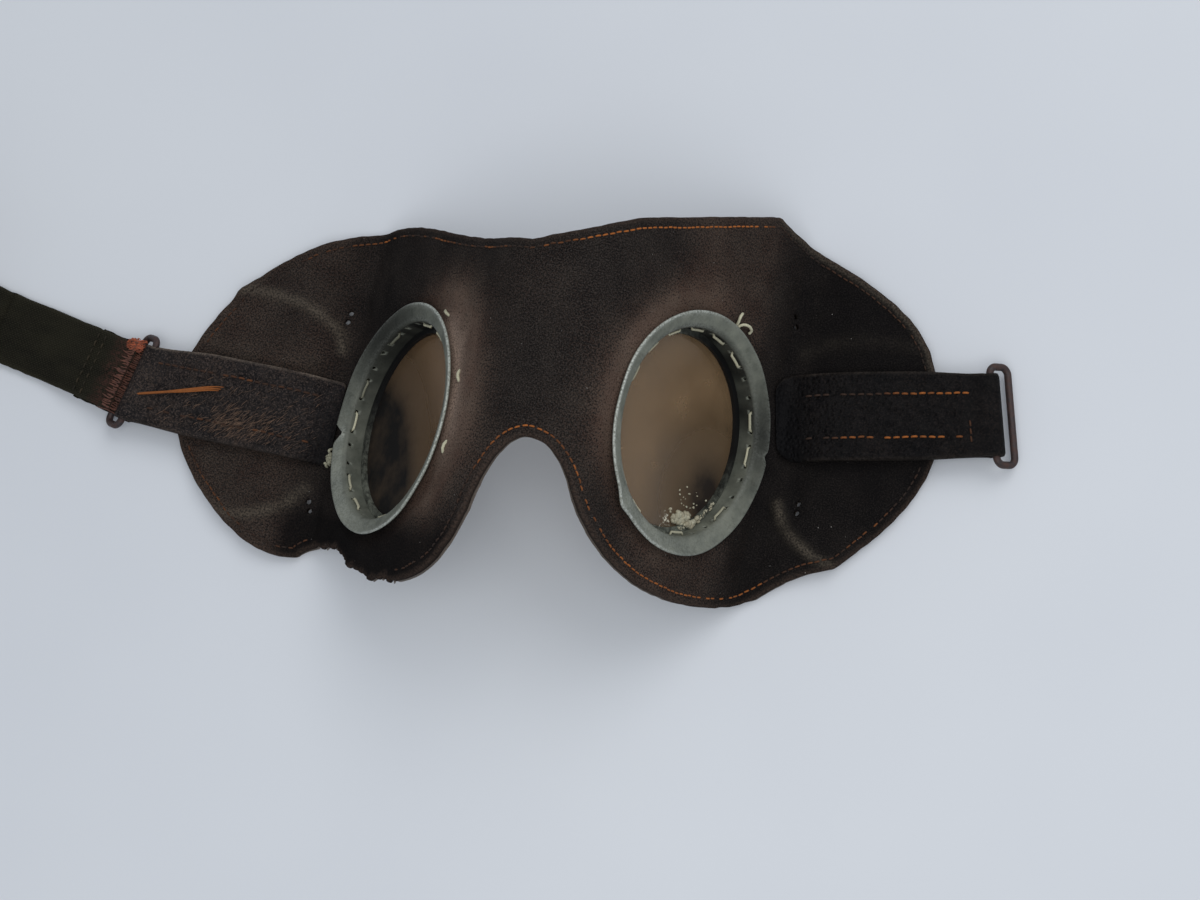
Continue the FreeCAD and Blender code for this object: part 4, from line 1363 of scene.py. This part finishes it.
def make_tab(side, leather, thread):
    at, length = tab_frame(side)
    middle = TAB_PLY / 2
    bend = WIRE_SPACE + TAB_SKIN / 2
    near = -TAB_NEAR[side]
    top = [(near, middle)]
    top += [(float(t), middle) for t in np.arange(near + 0.15, 1.5, 0.3)]
    top += [(float(t), middle) for t in np.arange(1.7, length - 6, 0.6)]
    top += [(length - 5.6 + 5.0 * r, middle + (bend - middle) * ramp(r, 0, 1))
            for r in np.linspace(0, 1, 9)]
    loop = [(length + bend * sin(a), bend * cos(a)) for a in np.linspace(0.12, pi - 0.12, 15)]
    path = [Vector(p) for p in top + loop + [(t, -h) for t, h in top[::-1]]]
    across_steps = np.linspace(-1, 1, 27)
    rows = []
    level = WING_LEVEL + TAB_LIFT + TAB_PLY
    end, end_across = at(length)
    out = fold_axes(side)[0]
    along = tab_axes(side)[1]
    for i, p in enumerate(path):
        run = run_at(path, i)
        normal = Vector((-run.y, run.x))
        centre, across = at(min(p.x, length))
        half = tab_half_width(side, p.x, length)
        thin = thinned(side, p.x)
        thickness = TAB_SKIN / 2 * (0.4 if i in (0, len(path) - 1) else 1.0)
        for face in (1, -1):
            for w in across_steps[::face]:
                edge = abs(w)
                offset = p + normal * (thickness * (1 - 0.45 * ramp(edge, 0.93, 1.0)) * face)
                offset.y = (offset.y + TAB_PLY) * thin - TAB_PLY
                wide = half * w
                if offset.x > length - 1.5:
                    spot = end + end_across * wide + out * (offset.x - length)
                else:
                    spot = centre + across * wide + along * (offset.x - min(p.x, length))
                ground = mask_level(spot.x, spot.y) - WING_LEVEL if offset.x < length - 8 else 0
                lift = tab_lift(side, p.x, wide, length) * thin
                if i >= len(top):
                    lift *= 0.7 * ramp(length - p.x, 0, 12)
                outside = 1.0 if (face > 0) == (i < len(top) + 8) else 0.6
                scuff = 0.35 + 0.8 * mottle(p.x, wide, 9, 1.0)
                # Painted highlight along the tab's edges, strongest on the left tab's upper edge.
                bright = TAB_EDGE_HIGHLIGHT[side][1 if w > 0 else 0] * (0.75 + 0.6 * mottle(p.x, w, 5.0, 9.0))
                # The last value of each row is painted shade over the tab's thinned near end, against the
                # ring.
                rows.append((Vector((spot.x, spot.y, level + ground + offset.y + lift)),
                             min(1, max(0, scuff)) * outside, ramp(edge, 0.96, 1.0) * bright,
                             0.25 if length - p.x < 7 else 1.0,
                             0.85 * (1 - ramp(p.x + 0.3 * wide, -2, 8))))
    points, wears, rims, pebbles, shades = zip(*rows)
    faces = tube_faces(len(path), 2 * len(across_steps))
    tab = piece(side + "_strap_tab_leather", points, faces, leather)
    give(tab, wear=wears, rim=rims, pebble=pebbles, sheltered=shades)
    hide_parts(side + "_strap_tab")
    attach(tab, side + "_half")
    make_tab_sewing(side, thread, at, length)


def make_tab_sewing(side, thread, at, length):
    """Two rows of stitches on a tab, and the right one's end row or the left one's loose thread and fuzz."""
    rng = random.Random(20 + SIDES[side])
    bundle = Bundle()

    def surface(p, lift):
        centre, across = at(p.x)
        spot = centre + across * p.y
        ground = mask_level(spot.x, spot.y) - WING_LEVEL if p.x < length - 8 else 0
        rise = (tab_lift(side, p.x, p.y, length) + 2 * TAB_PLY) * thinned(side, p.x)
        return Vector((spot.x, spot.y, WING_LEVEL + TAB_LIFT + ground + rise + lift))

    for row in (TAB_ROW[side], -TAB_ROW[side]):
        t = 3.0
        while t < length - (8.5 if side == "right" else 6):
            t += TAB_PITCH
            if side == "right":
                bright = ramp(t, 22, 30) if row * SIDES[side] > 0 else ramp(t, 10, 16)
                tone = bright * rng.uniform(0.25, 0.9) + 0.03
            else:
                tone = 0.05 + 0.5 * max(0, mottle(t, row, 5, 3.0))
            if rng.random() < 0.1:
                continue
            w = row + 0.25 * mottle(t, row, 7, 1.0)
            end = Vector((t + TAB_STITCH, w + rng.uniform(-0.12, 0.12)))
            stitch(bundle, Vector((t, w)), end, surface, 0.27, tone, 0.22)
    if side == "right":
        for w in (-6.6, -4.7, -2.8):
            end = Vector((length - 5.7, w + 1.4))
            stitch(bundle, Vector((length - 5.6, w)), end, surface, 0.24, 0.12, 0.2)
    else:
        hang = [(length + 0.5, -3.5, -0.3), (length - 2.5, -2.7, 0.6), (length - 8, -1.2, 0.9),
                (length - 14, 0.4, 1.0), (length - 19.5, 1.9, 0.9), (length - 22.5, 2.4, 0.5)]
        for fan, size in ((0.0, 0.34), (0.6, 0.24), (-0.5, 0.22)):
            line = []
            for t, w, lift in hang:
                spread = ramp(length - t, 4, 18)
                line.append(surface(Vector((t - fan * spread, w + fan * spread)), lift + 0.1))
            bundle.tube(smooth_path(line, 5), size, rng.uniform(0.55, 1.0), sides=7, tapered=True)
        fuzz = Bundle()
        for i in range(FUZZ_HAIRS):
            t, w = rng.uniform(4, length - 8), rng.uniform(-FUZZ_EDGE, 6)
            if i % 3:
                t, w = rng.gauss(*((19, 4) if i % 2 else (27, 3))), rng.gauss(-6.0, 2.2)
            if abs(w) > FUZZ_EDGE:
                continue
            lean = Vector((-rng.uniform(0.6, 2.0), rng.uniform(0.6, 1.9)))
            path = [surface(Vector((t, w)) + lean * k, 0.1 + 0.25 * sin(pi * k))
                    for k in (0, 0.35, 0.7, 1)]
            fuzz.tube(path, 0.05, rng.uniform(0.0, 0.5), sides=4)
        fibre = thread_material("tab_fibre", (0.42, 0.25, 0.16), (0.075, 0.055, 0.045))
        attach(fuzz.piece("left_tab_fuzz", fibre), "left_half")
    obj = bundle.piece(side + "_tab_sewing", thread, "orange_thread")
    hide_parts(side + "_tab_stitching")
    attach(obj, side + "_half")


# ---------------------------------------------------------------- strap

STRAP_OUT, STRAP_LEG = fold_axes("left")


def on_strap(s, y, z):
    """Distance out from the loop's outer leg, sideways, and height above the table."""
    foot = Vector((STRAP_FOOT.x, STRAP_FOOT.y, 0))
    return foot + STRAP_OUT * s + STRAP_LEG * y + UP * z


def strap_route():
    """The strap's control points: along the table, then round and round in a standing roll."""
    points = [on_strap(*p) for p in STRAP_POINTS]
    outer = (ROLL_RADIUS - STRAP / 2) / cos(pi / ROLL_STEPS)
    drift = STRAP_POINTS[-1][1]
    for k in range(round(ROLL_TURNS * ROLL_STEPS) + 1):
        a = -pi / 2 + TURN * (k + 0.4) / ROLL_STEPS
        radius = outer - ROLL_PITCH * k / ROLL_STEPS
        points.append(on_strap(ROLL_CENTRE + radius * cos(a), drift, ROLL_RADIUS + radius * sin(a)))
    return points


def route_line(points):
    """The smooth line of a NURBS spline with these control points."""
    curve = bpy.data.curves.new("strap_line", "CURVE")
    curve.dimensions = "3D"
    curve.resolution_u = 8
    spline = curve.splines.new("NURBS")
    spline.points.add(len(points) - 1)
    for target, p in zip(spline.points, points):
        target.co = (*place(p), 1)
    spline.order_u = 3
    spline.use_endpoint_u = True
    holder = show("strap_line", curve)
    bpy.context.view_layer.update()
    graph = bpy.context.evaluated_depsgraph_get()
    mesh = bpy.data.meshes.new_from_object(holder.evaluated_get(graph))
    line = [v.co / MM - SHIFT for v in mesh.vertices]
    bpy.data.objects.remove(holder)
    return line


def web_section():
    """Across and up for each corner of the web's section, thinner at its edges."""
    half = STRAP_WIDTH / 2
    thin = STRAP / 2
    top = [(half * w, thin * (1 - 0.35 * ramp(abs(w), 0.88, 1.0))) for w in np.linspace(-1, 1, 25)]
    return top + [(w, -h) for w, h in top[::-1]]


def make_strap(web):
    """The woven strap, one band along the table and round the roll; gives it and its line."""
    line = route_line(strap_route())
    section = web_section()
    rows = []
    walked = 0.0
    for i, p in enumerate(line):
        if i:
            walked += (p - line[i - 1]).length
        run = run_at(line, i)
        side = (STRAP_LEG - run * STRAP_LEG.dot(run)).normalized()
        rise = side.cross(run)
        if rise.z < 0 and walked < FLAT_RUN:
            rise = -rise
        for w, h in section:
            fray = 0.18 * mottle(walked, w, 1.7, 2.0) if abs(w) > STRAP_WIDTH / 2 - 0.3 else 0
            bulge = 0.1 * mottle(walked, w, 4.0, 7.0) if h > 0 and 2 < walked else 0
            across = w * (1 - 0.004 * abs(w)) + fray
            rows.append((p + side * across + rise * (h + bulge * 0.6), (walked, w, h),
                         0.95 * (1 - ramp(walked + 1.5 * mottle(w, 0, 2.0), 3.5, 8)),
                         ramp(abs(w), STRAP_WIDTH / 2 - 1.2, STRAP_WIDTH / 2)))
    points, places, wears, rims = zip(*rows)
    band = piece("elastic_strap", points, tube_faces(len(line), len(section)), web)
    give(band, flat=places, wear=wears, rim=rims)
    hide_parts("strap_band", "strap_roll")
    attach(band, "strap")
    return band, [place(p) for p in line]


def fold_line():
    """Along the fold's middle, from the end under the strap, round the wire and up: points out and up."""
    level = STRAP_FOOT.z
    bend = WIRE_SPACE + FOLD_PLY / 2
    path = [Vector((s, level - bend)) for s in np.linspace(12, 0.5, 14)]
    path += [Vector((-bend * sin(a), level - bend * cos(a))) for a in np.linspace(0, pi, 16)]
    return path + [Vector((0.9, level + bend + 0.05))]


def make_fold(web, rubber, thread):
    """The strap's sewn end, rubbed through round the wire so that its rubber shows; gives the sewing."""
    rng = random.Random(8)
    path = fold_line()
    rows = []
    widths = np.linspace(-1, 1, 29)
    walked = 0.0
    for i, p in enumerate(path):
        if i:
            walked += (p - path[i - 1]).length
        run = run_at(path, i)
        normal = Vector((-run.y, run.x))
        for face in (1, -1):
            for w in widths[::face]:
                wide = w * STRAP_WIDTH / 2
                thick = FOLD_PLY / 2 * (0.75 if abs(w) > 0.97 else 1.0)
                dent = 0.16 * mottle(walked * 2, wide, 1.2, 4.0) * ramp(walked, 10, 13)
                outward = -thick if face < 0 else thick * (1 - 1.3 * ramp(walked, 10.5, 12.5))
                spot = p + normal * (outward + dent * (0.5 if face > 0 else 0))
                rows.append((on_strap(spot.x, wide + 0.25 * mottle(walked, w, 1.5), max(spot.y, 0.02)),
                             (-walked, wide, thick * face), ramp(walked, 9, 13)))
    points, places, wears = zip(*rows)
    faces = tube_faces(len(path), 2 * len(widths))
    cover = piece("strap_fold_cover", points, faces, web)
    give(cover, flat=places, wear=wears, rim=[0.3] * len(points))
    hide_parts("strap_fold")
    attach(cover, "strap")
    make_strands(rng, rubber)
    return make_cross_stitching(thread, rng)


def held_close(p):
    """Draws a thread's point in to the wire's leg, so that it clears the tab when the strap swings up."""
    out = (p - STRAP_FOOT).dot(STRAP_OUT)
    rise = p.z - STRAP_FOOT.z
    away = hypot(out, rise)
    swung = (out * cos(STRAP_SWING) - rise * sin(STRAP_SWING)) / away
    limit = max(THREAD_REACH, TAB_GAP / -swung) if swung < 0 else away
    if away <= limit:
        return p
    return p - (STRAP_OUT * out + UP * rise) * (1 - limit / away)


# Bared rubber strands, and the finer hairs of the tuft at the low end of the wire
STRANDS = 36
TUFT_HAIRS = 110


def make_strands(rng, rubber):
    """Rubber strands side by side round the wire, and a tuft of finer hairs at its low end."""
    bundle = Bundle()
    level = STRAP_FOOT.z
    reach = WIRE_SPACE + 0.5
    top = level + WIRE_SPACE + FOLD_PLY + 0.8
    for i in range(STRANDS):
        wide = (i + 0.5) * STRAP_WIDTH / STRANDS - STRAP_WIDTH / 2 + rng.uniform(-0.2, 0.2)
        first = rng.uniform(-0.2, 0.5)
        last = rng.uniform(2.6, 3.15)
        path = []
        for a in np.linspace(first, last, 11):
            r = reach + rng.uniform(-0.06, 0.08)
            path.append(on_strap(-r * sin(a), wide + rng.uniform(-0.12, 0.12), level - r * cos(a)))
        for s in (0.5, 1.2, rng.uniform(1.5, 3.4)):
            path.append(held_close(on_strap(s, wide + rng.uniform(-0.3, 0.3), top + rng.uniform(0, 0.25))))
        bundle.tube(smooth_path(path, 2), rng.uniform(0.14, 0.24), rng.uniform(0, 0.07), sides=6)
    for _ in range(TUFT_HAIRS):
        wide = -rng.uniform(7.2, 9.6)
        start = on_strap(rng.uniform(0.3, 3.5), wide, top - rng.uniform(0.0, 0.5))
        swing = -STRAP_OUT * rng.uniform(0.8, 2.8) - STRAP_LEG * rng.uniform(-0.2, 1.4)
        swing += UP * rng.uniform(0.2, 1.5)
        curl = Vector((rng.uniform(-1.2, 1.2), rng.uniform(-1.2, 1.2), rng.uniform(-0.9, 0.3)))
        path = [held_close(start + swing * t + curl * sin(3 * t) * t) for t in (0, 0.25, 0.5, 0.75, 1)]
        bundle.tube(smooth_path(path, 2), rng.uniform(0.07, 0.12), rng.uniform(0.25, 1.0), sides=5)
    obj = bundle.piece("strap_rubber_threads", rubber, "strand_rubber")
    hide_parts("strap_rubber_strands")
    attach(obj, "strap")


# Rows of sewing across the strap: how far out, stitches in a row, their pitch and length
CROSS_ROWS = (9.6, 11.6)
CROSS_STITCHES = 8
CROSS_PITCH = 2.1
CROSS_STITCH = 1.4


def make_cross_stitching(thread, rng):
    """The rows of sewing that close the strap's fold."""
    bundle = Bundle()

    def surface(p, lift):
        return on_strap(p.x, p.y, 3.1 + STRAP / 2 + 0.1 + lift)

    for s in CROSS_ROWS:
        for k in range(CROSS_STITCHES):
            w = -STRAP_WIDTH / 2 + 1.6 + k * CROSS_PITCH
            start = Vector((s + rng.uniform(-0.15, 0.15), w))
            stitch(bundle, start, Vector((s, w + CROSS_STITCH)), surface, 0.24, rng.uniform(0.0, 0.5), 0.25)
    obj = bundle.piece("strap_cross_stitching", thread, "strap_thread")
    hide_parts("strap_stitching")
    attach(obj, "strap")
    return obj


# ---------------------------------------------------------------- table and light

TABLE_REACH = 3.0
# Each lamp's name, place and size in metres, and power in watts
LAMPS = [("window", (0.55, 0.75, 1.2), 1.0, 7.0), ("ceiling", (0.1, -0.25, 0.8), 0.6, 2.3)]
WORLD_COLOUR = (0.86, 0.92, 1.0, 1)
WORLD_STRENGTH = 0.46


def make_stage():
    """The pale table, the sky's even light and the lamps."""
    p = Paint("table", 0.55)
    cloud = p.noise(160, 3, 0.5)
    p.set("Base Color", p.mix(p.fit(cloud, 0.35, 0.65), (0.64, 0.665, 0.705), (0.675, 0.7, 0.735)))
    mesh = bpy.data.meshes.new("table")
    corners = [(x * TABLE_REACH, y * TABLE_REACH, 0) for x, y in ((-1, -1), (1, -1), (1, 1), (-1, 1))]
    mesh.from_pydata(corners, [], [(0, 1, 2, 3)])
    mesh.materials.append(p.material)
    show("table", mesh)
    world = bpy.data.worlds.new("studio")
    world.use_nodes = True
    sky = world.node_tree.nodes["Background"]
    sky.inputs["Color"].default_value = WORLD_COLOUR
    sky.inputs["Strength"].default_value = WORLD_STRENGTH
    bpy.context.scene.world = world
    for name, spot, size, power in LAMPS:
        data = bpy.data.lights.new(name, "AREA")
        data.size = size
        data.energy = power
        lamp = show(name, data)
        lamp.location = spot
        lamp.rotation_euler = (-Vector(spot)).to_track_quat("-Z", "Y").to_euler()
    bpy.context.scene.view_settings.view_transform = "Standard"


# ---------------------------------------------------------------- all together

def main():
    make_camera()
    web = web_material()
    rubber = rubber_material()
    band, line = make_strap(web)
    orange = thread_material("orange_thread", (0.42, 0.135, 0.032), (0.03, 0.021, 0.017))
    cream = thread_material("cream_thread", (0.6, 0.57, 0.41), (0.1, 0.1, 0.075))
    brown = thread_material("strap_thread", (0.075, 0.055, 0.032), (0.018, 0.016, 0.011))
    cross = make_fold(web, rubber, brown)
    place(on_strap(*STRAP_POINTS[0]))
    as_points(line)
    make_mask(leather_material(), lining_material())
    make_edge_stitching(orange)
    paint = ring_material()
    wire = wire_material()
    fibre = gasket_material()
    for side in SIDES:
        make_ring(side, paint, cream)
        dress(side + "_lens", glass_material(side))
        dress(side + "_lens_gasket", fibre)
        dress(side + "_retaining_ring", steel_material(side))
        dress(side + "_wire_loop", wire)
        make_tab(side, tab_material(side), orange)
    make_crumbs()
    make_stage()


main()
